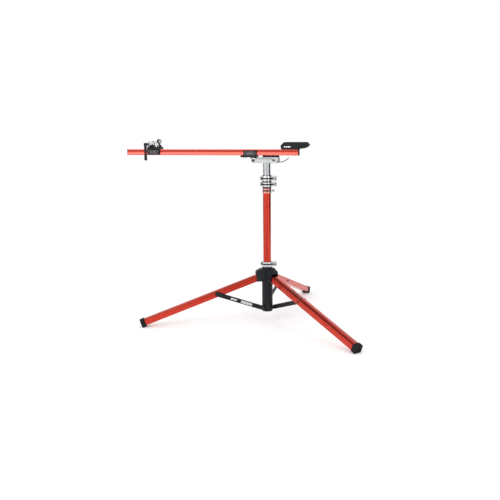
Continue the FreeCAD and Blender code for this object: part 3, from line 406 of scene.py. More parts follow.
def blended(tree, value, first, second):
    """A colour between two, by a noise."""
    node = tree.nodes.new("ShaderNodeValToRGB")
    for stop, position, colour in zip(node.color_ramp.elements, (0.35, 0.65), (first, second)):
        stop.position = position
        stop.color = (*colour, 1)
    tree.links.new(value, node.inputs["Fac"])
    return node.outputs["Color"]


def bumped(tree, shader, *layers):
    """Bump from noises: each layer is (value, height in millimetres)."""
    normal = None
    for value, height in layers:
        bump = tree.nodes.new("ShaderNodeBump")
        bump.inputs["Strength"].default_value = 1.0
        bump.inputs["Distance"].default_value = height * MM
        tree.links.new(value, bump.inputs["Height"])
        if normal:
            tree.links.new(normal, bump.inputs["Normal"])
        normal = bump.outputs["Normal"]
    tree.links.new(normal, shader.inputs["Normal"])


def metal(name, dark, light, rough, stretch, line_height, coat=0.0, metallic=1.0):
    """A metal with fine drawn or brushed lines, and slow changes of tone and gloss."""
    mottle = 60.0
    material, tree, shader = blank(name)
    shader.inputs["Metallic"].default_value = metallic
    shader.inputs["Coat Weight"].default_value = coat
    shader.inputs["Coat Roughness"].default_value = 0.12
    tone = grainy(tree, (1, 1, 1), mottle, detail=4)
    lines = grainy(tree, stretch, 1.0, detail=2)
    smear = grainy(tree, (1, 1, 1), mottle / 4, detail=5, rough=0.7)
    tree.links.new(blended(tree, tone, dark, light), shader.inputs["Base Color"])
    mix = tree.nodes.new("ShaderNodeMath")
    mix.operation = "ADD"
    tree.links.new(ranged(tree, lines, rough - 0.05, rough + 0.05), mix.inputs[0])
    tree.links.new(ranged(tree, smear, -0.03, 0.05), mix.inputs[1])
    tree.links.new(mix.outputs["Value"], shader.inputs["Roughness"])
    bumped(tree, shader, (lines, line_height))
    return material


def coating(name, dark, light, rough, peel_scale, peel_height, fine_scale, fine_height, gloss=0.5):
    """A powder coat, moulded plastic or rubber: orange peel under a fine texture."""
    material, tree, shader = blank(name)
    shader.inputs["Specular IOR Level"].default_value = gloss
    tone = grainy(tree, (1, 1, 1), 35, detail=5, rough=0.65)
    peel = grainy(tree, (1, 1, 1), peel_scale, detail=2)
    fine = grainy(tree, (1, 1, 1), fine_scale, detail=2)
    tree.links.new(blended(tree, tone, dark, light), shader.inputs["Base Color"])
    tree.links.new(ranged(tree, tone, rough - 0.06, rough + 0.08), shader.inputs["Roughness"])
    bumped(tree, shader, (peel, peel_height), (fine, fine_height))
    return material


# How the fine lines of a finish are stretched along its piece's own axes.
DRAWN = (2600, 2600, 25)
TURNED = (70, 70, 4200)
CAST = (900, 900, 900)
ROLLED = (300, 300, 2600)

red = metal("red_anodised_tube", (0.52, 0.031, 0.013), (0.63, 0.043, 0.020), 0.24, DRAWN, 0.0016, coat=0.45)
red_beam = metal("red_anodised_beam", (0.50, 0.034, 0.016), (0.60, 0.046, 0.024), 0.24, DRAWN, 0.0010,
                 coat=1.0)
# The stop collar's red anodising made pale pink over its whole surface: painted highlight.
red_turned_painted_highlight = metal("red_anodised_turned_painted_highlight", (0.62, 0.26, 0.20), (0.74, 0.33, 0.27), 0.22, TURNED, 0.003,
                   coat=1.0)
silver = metal("silver_cast_polished", (0.62, 0.63, 0.64), (0.72, 0.73, 0.74), 0.20, CAST, 0.004)
silver_matt = metal("silver_cast_tumbled", (0.36, 0.37, 0.372), (0.43, 0.44, 0.442), 0.38, CAST, 0.010)
silver_satin = metal("silver_satin_lever", (0.56, 0.57, 0.575), (0.64, 0.65, 0.655), 0.34, CAST, 0.006,
                     metallic=0.35)
clear = metal("clear_anodised_drawn", (0.42, 0.43, 0.445), (0.50, 0.51, 0.525), 0.20, DRAWN, 0.0012)
zinc = metal("zinc_plated_steel", (0.34, 0.35, 0.36), (0.44, 0.44, 0.45), 0.22, TURNED, 0.003)
black_oxide = metal("black_oxide_steel", (0.040, 0.041, 0.045), (0.070, 0.071, 0.075), 0.32, ROLLED, 0.003)
black_alloy = coating("black_powder_coat", (0.008, 0.009, 0.011), (0.013, 0.014, 0.017), 0.38, 700, 0.020,
                      2600, 0.004, gloss=0.16)
black_steel = coating("satin_black_coat", (0.008, 0.009, 0.011), (0.012, 0.013, 0.016), 0.34, 520, 0.016,
                      2400, 0.003, gloss=0.18)
black_plastic = coating("moulded_black_nylon", (0.007, 0.008, 0.010), (0.012, 0.013, 0.015), 0.46,
                        900, 0.010, 3200, 0.010, gloss=0.14)
rubber = coating("moulded_black_rubber", (0.007, 0.007, 0.008), (0.013, 0.013, 0.014), 0.64, 600, 0.014,
                 2200, 0.012, gloss=0.12)
grey_plastic = coating("moulded_grey_plastic", (0.30, 0.31, 0.32), (0.38, 0.39, 0.40), 0.40, 700, 0.008,
                       2800, 0.004)
white_print = coating("white_print", (0.70, 0.70, 0.69), (0.80, 0.80, 0.79), 0.45, 900, 0.002, 2600, 0.001)
grey_print = coating("grey_print", (0.30, 0.31, 0.33), (0.40, 0.41, 0.43), 0.40, 900, 0.002, 2600, 0.001)
# Dark print for the leg's marks, also used as painted shade in the stop collar's groove.
dark_print_and_painted_shade = coating("dark_print_and_painted_shade", (0.020, 0.018, 0.018), (0.032, 0.028, 0.028), 0.42, 900, 0.002,
                     2600, 0.001)


# ---------------------------------------------------------------- places read from the frame
def at(joint):
    """A joint's point in millimetres."""
    return Vector(joints[joint]["pos_m"]) / MM


def bolt_centre(k):
    """Where leg k's strut bolt crosses the leg's middle plane, in metres."""
    fold = joints[f"leg_{k}_fold"]
    place = axes(fold["pos_m"], Z, fold["axis"])
    spot = middle(f"leg_{k}_bolt", place)
    return place @ (Vector((0, spot.y, spot.z)) * MM)


def leg_frame(k):
    """Z runs down leg k from its pivot, X lies along the pivot, Y is the leg's crown side."""
    pivot = Vector(joints[f"leg_{k}_fold"]["pos_m"])
    return axes(pivot, bolt_centre(k) - pivot, joints[f"leg_{k}_fold"]["axis"])


def strut_frame(k):
    """X runs from strut k's collar pivot to its leg pivot, Z points out through its outer face."""
    pivot = Vector(joints[f"strut_{k}_fold"]["pos_m"])
    across = -Vector(joints[f"strut_{k}_fold"]["axis"])
    return axes(pivot, across, bolt_centre(k) - pivot)


def clamp_frame(k):
    """Z up the mast, X out through clamp k's ears, with its origin at the clamp's mid height."""
    skewer = middle(f"qr_{k}_skewer")
    return axes((0, 0, at(CLAMP_JOINTS[k]).z * MM), Z, (skewer.x, skewer.y, 0))


# ---------------------------------------------------------------- screws and pins
def socket_head(radius, height, key, shank_radius, shank):
    """A screw with its head's top at Z = 0, a hexagon socket in it, and its shank below."""
    socket = 0.6 * height
    return lathe([
        (0, -socket), (key, -socket, 0.01, hexed), (key, -0.25, 0.1, hexed), (key + 0.5, 0, 0.1),
        (radius, 0, 0.5), (radius, -height, 0.3), (shank_radius, -height, 0.1),
        (shank_radius, -height - shank, 0.3), (0, -height - shank),
    ])


def domed_rivet(radius, height, shank_radius, shank):
    """A rivet with its head's top at Z = 0."""
    return lathe([
        (0, 0), (0.45 * radius, -0.02 * height, 1), (0.85 * radius, -0.3 * height, 1),
        (radius, -0.8 * height, 0.4), (radius, -height, 0.1), (shank_radius, -height, 0.1),
        (shank_radius, -height - shank, 0.3), (0, -height - shank),
    ])


def hex_nut(radius, height, bolt_radius):
    """A nut from Z = 0 up, with the end of its bolt showing."""
    return lathe([
        (0, 0), (radius, 0, 0.5, hexed), (radius, height, 0.5, hexed), (bolt_radius + 1.4, height, 0.1),
        (bolt_radius + 0.4, height - 0.5, 0.1), (bolt_radius, height - 0.4, 0.1),
        (bolt_radius, height, 0.1), (0, height),
    ])


# ---------------------------------------------------------------- mast and lower column
MAST_WALL = 1.5
POST_WALL = 1.9


def make_mast():
    """The outer mast with its end plug, the black sleeve on its lower part, and the bottom collar."""
    low, high = extent("mast_tube")
    radius, bore = high.x, high.x - MAST_WALL
    make("mast_tube", tube(bore, radius, low.z, high.z), red)

    low, high = extent("mast_end_plug")
    flange = low.z + 4
    fit = bore - 0.1
    make("mast_end_plug", lathe([
        (0, low.z + 2), (high.x - 7, low.z + 2), (high.x - 6, low.z), (high.x, low.z), (high.x, flange),
        (fit, flange), (fit, high.z), (0, high.z),
    ]), black_plastic)

    low, high = extent("column_sleeve")
    bore = radius + 0.05
    make("column_sleeve", lathe([
        (bore, low.z), (high.x, low.z, 1.6), (high.x, high.z, 1.6), (bore, high.z),
    ], steps=128), black_alloy)
    cast("lower_collar", black_alloy, grain=0.45, faces=60000)


def make_stop():
    """The stop collar, pale red as painted highlight, with painted shade in the groove round its waist, and its
    screw with a knurled knob.
    """
    low, high = extent("stop_collar")
    bore, outer = high.x - 2.9, high.x
    waist = outer - 1.6
    bottom, top = low.z + 10.5, low.z + 18.5
    stop = make("stop_collar", lathe([
        (bore, low.z), (outer - 0.8, low.z, 0.8), (outer, low.z + 2.5, 2), (outer, bottom - 1.5, 1.5),
        (waist, bottom + 0.5, 0.6), (waist, top - 0.5, 0.6), (outer, top + 1.5, 1.5),
        (outer, high.z - 2, 2), (outer - 0.8, high.z, 0.8), (bore, high.z),
    ], steps=128), red_turned_painted_highlight)

    # The faces in the groove round the collar's waist are painted dark: painted shade.
    def groove_painted_shade(spot):
        return bottom + 0.3 < spot.z < top - 0.3 and spot.xy.length > bore + 0.5

    painted_shade_faces(stop, dark_print_and_painted_shade, groove_painted_shade)

    start = Vector((extent("stop_screw")[0].x, 0, middle("stop_screw").z))
    place = axes(start * MM, X, Y)
    high = extent("stop_screw", place)[1]
    length, radius = high.z, high.x
    grip = knurled(24, 0.09)
    make("stop_screw", lathe([
        (0, 0), (2.5, 0), (2.5, length - 11), (radius - 1.2, length - 11, 0.6),
        (radius, length - 9.6, 0.5, grip), (radius, length - 1.6, 0.5, grip), (radius - 1.2, length, 0.5),
        (2.6, length, 0.4), (2.0, length - 1, 0.4), (0, length - 1),
    ]), zinc, place)


def make_post():
    """The ring that the swivel sleeve turns on, the sleeve with its rim, black as painted shade in the gap between
    clamps 1 and 2 and on top of clamp 1, and the inner post.
    """
    low, high = extent("swivel_seat")
    bore = high.x - 1.9
    make("swivel_seat", lathe([
        (bore, low.z), (high.x, low.z, 0.8), (high.x, high.z, 0.8), (bore, high.z),
    ]), black_plastic)

    low, high = extent("swivel_sleeve")
    mast_radius = extent("mast_tube")[1].x
    bore = mast_radius - MAST_WALL
    rim = high.z - 2
    # Black sleeve and rim: painted shade, for the dark gap between clamps 1 and 2 and the dark band on top of
    # clamp 1.
    make("swivel_sleeve", lathe([
        (bore, low.z), (mast_radius, low.z), (mast_radius, rim, 0.1), (high.x, rim, 0.4),
        (high.x, high.z, 0.8), (bore, high.z, 0.3),
    ], steps=128), black_alloy)

    low, high = extent("post_tube")
    make("post_tube", tube(high.x - POST_WALL, high.x, low.z, high.z, steps=128), clear)
    low, high = extent("post_end_plug")
    make("post_end_plug", rod(high.x, low.z, high.z), black_plastic)


# ---------------------------------------------------------------- hub, legs and struts
def make_hub():
    """The hub, and the two screws of each leg's pivot, one from each side."""
    cast("hub_casting", black_alloy, grain=0.7, rounds=5, faces=120000)
    head_face, head = 30.5, 3
    bolts = []
    for k in LEGS:
        place = leg_frame(k)
        place.translation = place.translation / MM
        for sign in (-1, 1):
            screw = socket_head(7, head, 3, 4, head_face - head)
            bolts.append(placed(facing(screw, X * sign, Z, x=sign * head_face), place))
    make("leg_pivot_bolts", joined(*bolts), black_oxide)


CROWN = 4


def leg_section(half, low, side, crown, inset=0.0, groove=0.0):
    """The leg's section: flat underside and sides, crowned face, and a fine groove along each side."""
    edge = half - inset
    floor = low + inset
    shoulder = side - inset
    rise = crown - inset
    right = [(edge, floor, 4.0 - inset)]
    if groove:
        line = side - 9
        right += [(edge, line - 1.3, 0.2), (edge - groove, line - 0.5, 0.2),
                  (edge - groove, line + 0.5, 0.2), (edge, line + 1.3, 0.2)]
    right.append((edge, shoulder, 0.8))
    arc = []
    count = 10
    for i in range(1, count):
        across = edge * (1 - 2 * i / count)
        arc.append((across, shoulder + (rise - shoulder) * (1 - (across / edge) ** 2), 0))
    left = [(-a, b, r) for a, b, r in reversed(right)]
    return eased(right + arc + left, 0)


def make_leg(k):
    """Leg k's tube, the bolt that its strut turns on, its foot, and the colour of its hidden plug."""
    place = leg_frame(k)
    low, high = extent(f"leg_{k}_tube", place)
    section = leg_section(high.x, low.y, high.y - CROWN, high.y, groove=0.9)
    core = leg_section(high.x, low.y, high.y - CROWN, high.y, inset=2.0)
    make(f"leg_{k}_tube", prism(section, low.z, high.z, hole=core, ease=0.4), red, place)

    low, high = extent(f"leg_{k}_bolt", place)
    head = 3
    screw = socket_head(5.5, head, 2.4, 3, high.x - low.x - head)
    bolt = facing(screw, -X, Z, x=low.x, z=middle(f"leg_{k}_bolt", place).z)
    make(f"leg_{k}_bolt", bolt, black_oxide, place)
    cast(f"leg_{k}_foot", rubber)
    plug = frame["nodes"][f"leg_{k}_top_plug"].data
    plug.materials.clear()
    plug.materials.append(black_plastic)


def make_strut(k):
    """Strut k: a flat bar with round ends, and the rivets at its two pivots."""
    place = strut_frame(k)
    low, high = extent(f"strut_{k}_bar", place)
    half = (high.y - low.y) / 2
    length = high.x - half
    turn = 24
    outline = [(length + half * math.sin(math.pi * i / turn), -half * math.cos(math.pi * i / turn))
               for i in range(turn + 1)]
    outline += [(-half * math.sin(math.pi * i / turn), half * math.cos(math.pi * i / turn))
                for i in range(turn + 1)]
    make(f"strut_{k}_bar", prism(outline, low.z, high.z, ease=1.2), black_steel, place)

    low, high = extent(f"strut_{k}_rivets", place)
    bottom = extent(f"strut_{k}_bar", place)[0].z
    head = 2.6
    rivets = [moved(domed_rivet(6, head, 3, high.z - head - start), x=spot, z=high.z)
              for spot, start in ((0, low.z), (length, bottom))]
    make(f"strut_{k}_rivets", joined(*rivets), black_oxide, place)


# ---------------------------------------------------------------- quick release clamps
def make_clamp(k):
    """Clamp k's collar with painted shade in its grooves and on the end facing the next clamp, its skewer with
    nut, washer and hinge pin, and its lever.
    """
    place = clamp_frame(k)
    back = place.inverted()
    pin = back @ (at(CLAMP_JOINTS[k]) * MM) / MM
    collar = cast(f"qr_{k}_collar", silver, grain=0.42, rounds=3, faces=70000)
    bottom, top, shade_band, rim = -15.0, 12.95, 2.2, 28
    groove_half, groove_floor = 4.1, 26.2
    ear_start, ear_end, ear_half = 20, 37.6, 10.2

    def in_painted_shade(spot):
        """Painted shade, in black: inside the groove round the collar and along its ears, or on the end that faces
        its twin.
        """
        x, y, z = back @ (spot * MM) / MM
        across = math.hypot(x, y)
        facing_end = (k == 1 and z < shade_band + bottom) or (k == 2 and z > top - shade_band)
        in_ring = across < groove_floor
        in_ear = x > ear_start and abs(y) < ear_half
        return (facing_end and across < rim) or (abs(z) < groove_half and x < ear_end and (in_ring or in_ear))

    # The collar's faces in its groove, between its ears and on the end facing its twin get black: painted shade.
    painted_shade_faces(collar, black_alloy, in_painted_shade)
    low, high = extent(f"qr_{k}_skewer", place)
    nut_low, nut_radius = low.y, high.x - pin.x
    inner_end = pin.y - nut_low - 6.6
    grip = knurled(20, 0.08)
    nut = lathe([
        (0, 0.9), (1.8, 0.9, 0.3), (2.4, 0.1, 0.3), (nut_radius - 3.0, 0.1, 1.4),
        (nut_radius - 0.7, 1.6, 1.0), (nut_radius, 3.0, 0.5, grip), (nut_radius, 5.6, 0.5, grip),
        (nut_radius - 1.0, 7, 0.3), (2.8, 7, 0.1), (2.8, inner_end, 0.2), (0, inner_end),
    ])
    shaft = facing(nut, Y, X, x=pin.x, y=nut_low)
    washer = facing(tube(2.9, 6, 0, 2, ease=0.3), Y, X, x=pin.x, y=11.1)
    hinge = moved(rod(2, low.z, high.z, ease=0.5), x=pin.x, y=pin.y)
    make(f"qr_{k}_skewer", joined(shaft, washer, hinge), zinc, place)

    low, high = extent(f"qr_{k}_lever", place)
    centre = Vector((10.6, -13.3, 0))
    reach = (pin - centre).length
    first = math.atan2(pin.y - centre.y, pin.x - centre.x)
    last = math.radians(166.5)
    height = high.z - low.z

    def line(t):
        angle = first + (last - first) * t
        return centre + Vector((math.cos(angle), math.sin(angle), 0)) * reach

    def width(t):
        return height * (1 - 0.22 * math.sin(math.pi * min(1, 1.15 * t)))

    def thickness(t):
        return 4.0 - 0.6 * math.sin(math.pi * t)

    arm = swept(line, lambda t: Z, width, thickness, square=0.5)
    barrel = moved(tube(2.05, 6, low.z, high.z, ease=0.6), x=pin.x, y=pin.y)
    make(f"qr_{k}_lever", joined(arm, barrel), silver_satin, place)


# ---------------------------------------------------------------- head
def box_outline(left, right, low, high):
    return [(left, low), (right, low), (right, high), (left, high)]


def within(spot, left, right, low, high):
    return left < spot.x < right and low < spot.z < high


def make_head():
    """The head with painted shade in its window and slot, black faces and a black fill, its pins, its pad and its
    curved lever.
    """
    low, high = extent("head_casting")
    half = high.y
    head = cast("head_casting", silver_matt, grain=0.5, faces=110000)

    window = (35.6, 49.4, low.z + 11.1, low.z + 19.4)
    slot = (-47.5, 40.4, high.z - 9.5, high.z - 7.1)
    skin = 0.3

    def shaded(spot):
        """Inside the head's window and its slot under the jaw, where black is painted shade."""
        return abs(spot.y) < half - skin and (within(spot, *window) or within(spot, *slot))

    # Faces in the window and the slot get black plastic: painted shade.
    painted_shade_faces(head, black_plastic, shaded)
    # A black block in the window and a black strip in the slot, put where there is only shade: painted shade.
    depth = half - 2.5
    block = eased(box_outline(36.1, 48.9, low.z + 11.6, low.z + 18.9), 0.8)
    strip = eased(box_outline(-46.5, 39.9, high.z - 9.1, high.z - 7.5), 0.2)
    fill = joined(facing(prism(block, -depth, depth, ease=0.3), -Y, X),
                  facing(prism(strip, -depth, depth, ease=0), -Y, X))
    trim("head_window_painted_shade", "head_casting", fill, black_plastic)

    tilt = at("beam_tilt")
    cam = at("head_lever_swing")
    low, high = extent("head_pins")
    bolt = facing(socket_head(7.5, 4, 3.6, 4, 2 * half + 0.5), -Y, X, tilt.x, low.y, tilt.z)
    nut = facing(hex_nut(7.5, 5, 3.4), Y, X, tilt.x, high.y - 5, tilt.z)
    pin = facing(rod(3, -half, half, ease=0.5), Y, X, cam.x, 0, cam.z)
    make("head_pins", joined(bolt, nut, pin), black_oxide)
    cast("head_pad", rubber, grain=0.5, rounds=3)

    centre = Vector((66.2, 0, 948.3))
    start, end = math.radians(-95.5), math.radians(-42.6)
    radius = 72.3

    def line(t):
        angle = start + (end - start) * t
        return centre + Vector((math.cos(angle), 0, math.sin(angle))) * radius

    arm = swept(line, lambda t: Y, lambda t: 12 - 1.5 * math.sin(math.pi * t), lambda t: 4.4 - 0.6 * t)
    barrel = facing(tube(3.05, 7, -6, 6, ease=0.8), Y, X, cam.x, 0, cam.z)
    make("head_cam_lever", joined(arm, barrel), black_steel)


# ---------------------------------------------------------------- beam, caps and cradle
BEAM = axes((0, 0, middle("beam_extrusion").z * MM), X, Y)
BEAM_WALL = 3
VEE_DEPTH = 3


def beam_section(half):
    """A square with eased corners and a wide shallow vee in each side."""
    land = 12.0
    waist = half - VEE_DEPTH
    right = [(half, -half, 2.0), (half, -land, 1.0), (waist, 0, 1.5), (half, land, 1.0), (half, half, 2.0)]
    left = [(-a, b, r) for a, b, r in reversed(right)]
    return eased(right + left, 0, steps=5)


def make_beam():
    """The beam, hollow from end to end, and a cap of the same outline at each end."""
    low, high = extent("beam_extrusion", BEAM)
    half = high.x
    across, upright = half - VEE_DEPTH - BEAM_WALL, half - BEAM_WALL
    core = eased([(across, -upright), (across, upright), (-across, upright), (-across, -upright)], 1.5)
    make("beam_extrusion", prism(beam_section(half), low.z, high.z, hole=core, ease=0.4), red_beam, BEAM)

    cap_low, cap_high = extent("beam_end_caps", BEAM)
    gap = 0.05
    caps = [prism(beam_section(cap_high.x), start, end, ease=0.9)
            for start, end in ((cap_low.z, low.z - gap), (high.z + gap, cap_high.z))]
    make("beam_end_caps", joined(*caps), black_plastic, BEAM)


def ribbed_trough(start, end, reach, axis_z, radius, wall, ribs, rib_depth):
    """A trough along X, open at the top, with ribs across its inside."""
    across, along = 28, 90
    points, faces = [], []
    for i in range(along + 1):
        spot = start + (end - start) * i / along
        rib = rib_depth * (0.5 - 0.5 * math.cos(2 * math.pi * ribs * i / along))
        for shell in (radius, radius - wall + rib):
            for k in range(across + 1):
                angle = reach * (2 * k / across - 1)
                points.append((spot, shell * math.sin(angle), axis_z - shell * math.cos(angle)))
    row = 2 * (across + 1)
    for i in range(along):
        for k in range(across):
            for shell in (0, across + 1):
                a = i * row + shell + k
                faces.append([a, a + 1, a + 1 + row, a + row])
        for k in (0, across):
            a, b = i * row + k, i * row + across + 1 + k
            faces.append([a, b, b + row, a + row])
    for i in (0, along):
        for k in range(across):
            a, b = i * row + k, i * row + across + 1 + k
            faces.append([a, a + 1, b + 1, b])
    return points, faces


def make_cradle():
    """The bottom bracket cradle, its ribbed liner and its two bolts."""
    cast("cradle_base", black_plastic, rounds=5, faces=90000)
    low, high = extent("cradle_liner")
    axis_z, radius = 996.0, 26.0
    reach = math.acos((axis_z - high.z) / radius) - 0.02
    liner = ribbed_trough(low.x, high.x, reach, axis_z, radius, wall=2.5, ribs=15, rib_depth=0.6)
    make("cradle_liner", liner, rubber)

    low, high = extent("cradle_bolts")
    head = 5
    bolts = [moved(socket_head(head, head, 2.5, 3, high.z - low.z - head), x=spot, z=high.z)
             for spot in (low.x + head, high.x - head)]
    make("cradle_bolts", joined(*bolts), zinc)


# ---------------------------------------------------------------- carriage and fork mount
def oblong(half_length, half_height):
    """A flat outline with half-round ends."""
    count = 18
    straight = half_length - half_height
    ends = []
    for sign, start in ((1, -math.pi / 2), (-1, math.pi / 2)):
        for i in range(count + 1):
            angle = start + math.pi * i / count
            ends.append((sign * straight + half_height * math.cos(angle), half_height * math.sin(angle)))
    return ends


def make_badge(node, name):
    """A plain raised oblong plate with a rim line and a row of plain slanted bars."""
    low, high = extent(node)
    centre = (low + high) / 2
    half_length, half_height = (high.x - low.x) / 2, (high.z - low.z) / 2
    thick = high.y - low.y
    place = axes(Vector((centre.x, high.y, centre.z)) * MM, -Y, X)
    plate = prism(oblong(half_length, half_height), 0, thick - 0.25, ease=0.35)
    make(node, plate, black_plastic, place)
    outer, inner = 1.4, 2.4
    foot, face = thick - 0.3, thick - 0.02
    rim = prism(oblong(half_length - outer, half_height - outer), foot, face,
                hole=oblong(half_length - inner, half_height - inner), ease=0)
    bars = []
    for i in range(5):
        spot = 7.5 * (i - 2)
        outline = [(spot - 2.8, -3.4), (spot - 0.2, -3.4), (spot + 2.8, 3.4), (spot + 0.2, 3.4)]
        bars.append(prism(eased(outline, 0.5), foot, face, ease=0))
    trim(f"{name}_lines", node, joined(rim, *bars), grey_print, place)


def make_carriage():
    """The saddle bracket that carries the beam, its badge and its screws."""
    cast("carriage_bracket", black_alloy, grain=0.5, faces=80000)
    make_badge("carriage_badge", "carriage")
    low, high = extent("carriage_screws")
    radius = 4.5
    screws = [facing(socket_head(radius, 2.7, 2.2, 2.5, 0.3), -Z, X, spot, 0, low.z)
              for spot in (low.x + radius, high.x - radius)]
    make("carriage_screws", joined(*screws), black_oxide)


def make_slider():
    """The fork mount's saddle and drum, and the pin of its clamp lever."""
    cast("slider_body", black_alloy, grain=0.5, faces=90000)
    make_badge("slider_badge", "slider")
    axle = at("fork_skewer_spin")
    low, high = extent("fork_drum")
    radius = high.z - axle.z
    bore, stub = 2.6, 4.5
    bead = radius - 0.9
    neck = radius - 3
    drum = lathe([
        (bore, low.y), (stub, low.y, 0.5), (stub, -50, 0.2), (radius - 1, -50, 0.6), (radius, -48.6, 0.6),
        (radius, -46.5, 0.4), (bead, -46, 0.2), (bead, -44, 0.2), (radius, -43.5, 0.4),
        (radius, -24, 0.5), (radius - 1.2, -22, 0.5), (neck, -20, 0.5), (neck, 20, 0.5),
        (radius - 1.2, 22, 0.5), (radius, 24, 0.5), (radius, 43.5, 0.4), (bead, 44, 0.2),
        (bead, 46, 0.2), (radius, 46.5, 0.4), (radius, 48.6, 0.6), (radius - 1, 50, 0.6),
        (stub, 50, 0.2), (stub, high.y, 0.5), (bore, high.y),
    ], steps=112)
    make("fork_drum", facing(drum, Y, X, axle.x, 0, axle.z), silver)

    low, high = extent("slider_lever_pin")
    centre = middle("slider_lever_pin")
    half = (high.y - low.y) / 2
    pin = facing(rod(2.5, -half, half, ease=0.6), Y, X, centre.x, 0, centre.z)
    make("slider_lever_pin", pin, zinc)


def make_fork_skewer():
    """The fork mount's quick release: its rod, its knurled nut and its cam lever."""
    axle = at("fork_skewer_spin")
    low, high = extent("fork_skewer_rod")
    skewer = lathe([
        (0, low.y + 1.5), (6.5, low.y + 1.5, 0.5), (7.5, low.y, 0.5), (10, low.y, 1),
        (11, low.y + 1.6, 0.8), (11, low.y + 5.5, 0.5), (10, low.y + 7, 0.5), (2.5, low.y + 7, 0.1),
        (2.5, high.y, 0.4), (0, high.y),
    ])
    make("fork_skewer_rod", facing(skewer, Y, X, axle.x, 0, axle.z), zinc)

    low, high = extent("fork_skewer_nut")
    radius = high.z - axle.z
    grip = knurled(20, 0.10)
    bore = 2.6
    nut = lathe([
        (bore, low.y), (radius - 1.4, low.y, 0.3), (radius, low.y + 1.2, 0.4, grip),
        (radius, high.y - 2.4, 0.6, grip), (radius - 1.6, high.y - 0.3, 0.8), (4.5, high.y, 0.8),
        (bore, high.y),
    ])
    make("fork_skewer_nut", facing(nut, Y, X, axle.x, 0, axle.z), silver)

    low, high = extent("fork_cam_lever")
    wide = high.x - low.x
    pivot = at("fork_lever_swing")
    reach = pivot.z - low.z
    past = 5

    def line(t):
        bow = 0.7 * math.sin(math.pi * t)
        return Vector((pivot.x, low.y + 3.4 - bow, pivot.z + past - (reach + past) * t))

    def width(t):
        return wide * (0.84 + 0.16 * min(1, abs(2 * t - 0.9)) ** 1.5)

    blade = swept(line, lambda t: X, width, lambda t: 5.4 - 0.8 * t, blunt=2.4)
    barrel = facing(rod(7, -wide / 2, wide / 2, ease=1.2), X, Y, pivot.x, pivot.y, pivot.z)
    make("fork_cam_lever", joined(blade, barrel), black_alloy)


def make_slider_lever():
    """The clamp lever; its round head faces between the near side and the cradle."""
    pivot = at("slider_lever_swing")
    turn = math.radians(58)
    view = axes((0, 0, 0), (-math.sin(turn), math.cos(turn), 0), Z)
    low, high = extent("slider_lever_disc", view)
    centre = (low + high) / 2
    face, cap = high.z + 0.1, (high.x - low.x) / 2
    thick, deep = high.z - low.z, 16.0
    radius = extent("slider_clamp_lever", view)[1].x - centre.x
    knob = moved(lathe([
        (0, 0), (radius - 1.8, 0, 0.4), (radius - 1.2, 0.8, 0.4), (radius, 1.8, 1.2),
        (radius, deep - 1.6, 1.2), (radius - 2.2, deep, 0.8), (0, deep),
    ]), x=centre.x, y=centre.y, z=face)
    head = view @ Vector((centre.x, centre.y, face + deep / 2))

    def line(t):
        return pivot + (head - Z * (radius - 3) - pivot) * t

    def width(t):
        return 10 - 1.6 * math.sin(math.pi * t)

    stem = swept(line, lambda t: X, width, lambda t: 10 - 1.0 * t, blunt=0.3)
    barrel = facing(tube(2.55, 5.5, -6.2, 6.2, ease=0.6), Y, X, pivot.x, 0, pivot.z)
    make("slider_clamp_lever", joined(placed(knob, view), stem, barrel), black_plastic)

    inlay = moved(lathe([
        (0, 0.5), (5.5, 0.5, 1.0), (6.4, 0.1, 0.4), (cap - 1, 0, 0.8), (cap, 0.8, 0.5), (cap, thick, 0.2),
        (0, thick),
    ]), x=centre.x, y=centre.y, z=low.z)
    make("slider_lever_disc", placed(inlay, view), grey_plastic)


# ---------------------------------------------------------------- plain printed marks
PRINT = 0.12


def slanted(spot, half_length, half_height, lean, low, high):
    """A thin flat bar along X whose ends slant."""
    outline = [(spot - half_length - lean, -half_height), (spot + half_length - lean, -half_height),
               (spot + half_length + lean, half_height), (spot - half_length + lean, half_height)]
    return prism(eased(outline, 0.6), low, high, ease=0)


def crown_bar(k, start, end, left, right):
    """A thin bar printed on leg k's crown, between two places along it and two across it."""
    high = extent(f"leg_{k}_tube", leg_frame(k))[1]
    shoulder, count = high.y - CROWN, 12
    points, faces = [], []
    for z in (start, end):
        for layer in (-0.3, PRINT):
            for i in range(count + 1):
                across = left + (right - left) * i / count
                points.append((across, shoulder + CROWN * (1 - (across / high.x) ** 2) + layer, z))
    row = count + 1
    for i in range(count):
        for a, b in ((0, 1), (1, 3), (3, 2), (2, 0)):
            faces.append([a * row + i, a * row + i + 1, b * row + i + 1, b * row + i])
    for i in (0, count):
        faces.append([i, row + i, 3 * row + i, 2 * row + i])
    return points, faces


def make_marks():
    """Plain bars where the stand carries printed marks."""
    place = strut_frame(1)
    high = extent("strut_1_bar", place)[1]
    length = high.x - 12
    foot, face = high.z - 0.05, high.z + PRINT
    marks = [moved(slanted(x, 4.2, 4.6, 1.6, foot, face), x=0.64 * length) for x in (-12, 0, 12)]
    marks += [moved(slanted(0, 32, 1.5, 0.6, foot, face), x=0.36 * length, y=y) for y in (-5, 0, 5)]
    trim("strut_1_marks", "strut_1_bar", joined(*marks), white_print, place)

    low = extent("cradle_base")[0]
    bars = ((-13, 4), (-2.5, 4), (10.5, 6.5))
    label = joined(*[slanted(x, half, 3.0, 1.0, -0.4, 0.15) for x, half in bars])
    spot = (low.x + 35, low.y, low.z + 13)
    trim("cradle_label", "cradle_base", facing(label, -Y, X, *spot), white_print)

    bar_length, bar_width = 26, 6.5
    bars = [crown_bar(2, start, start + bar_length, left, left + bar_width)
            for start in (150, 184, 218) for left in (-10, 3)]
    trim("leg_2_marks", "leg_2_tube", joined(*bars), dark_print_and_painted_shade, leg_frame(2))


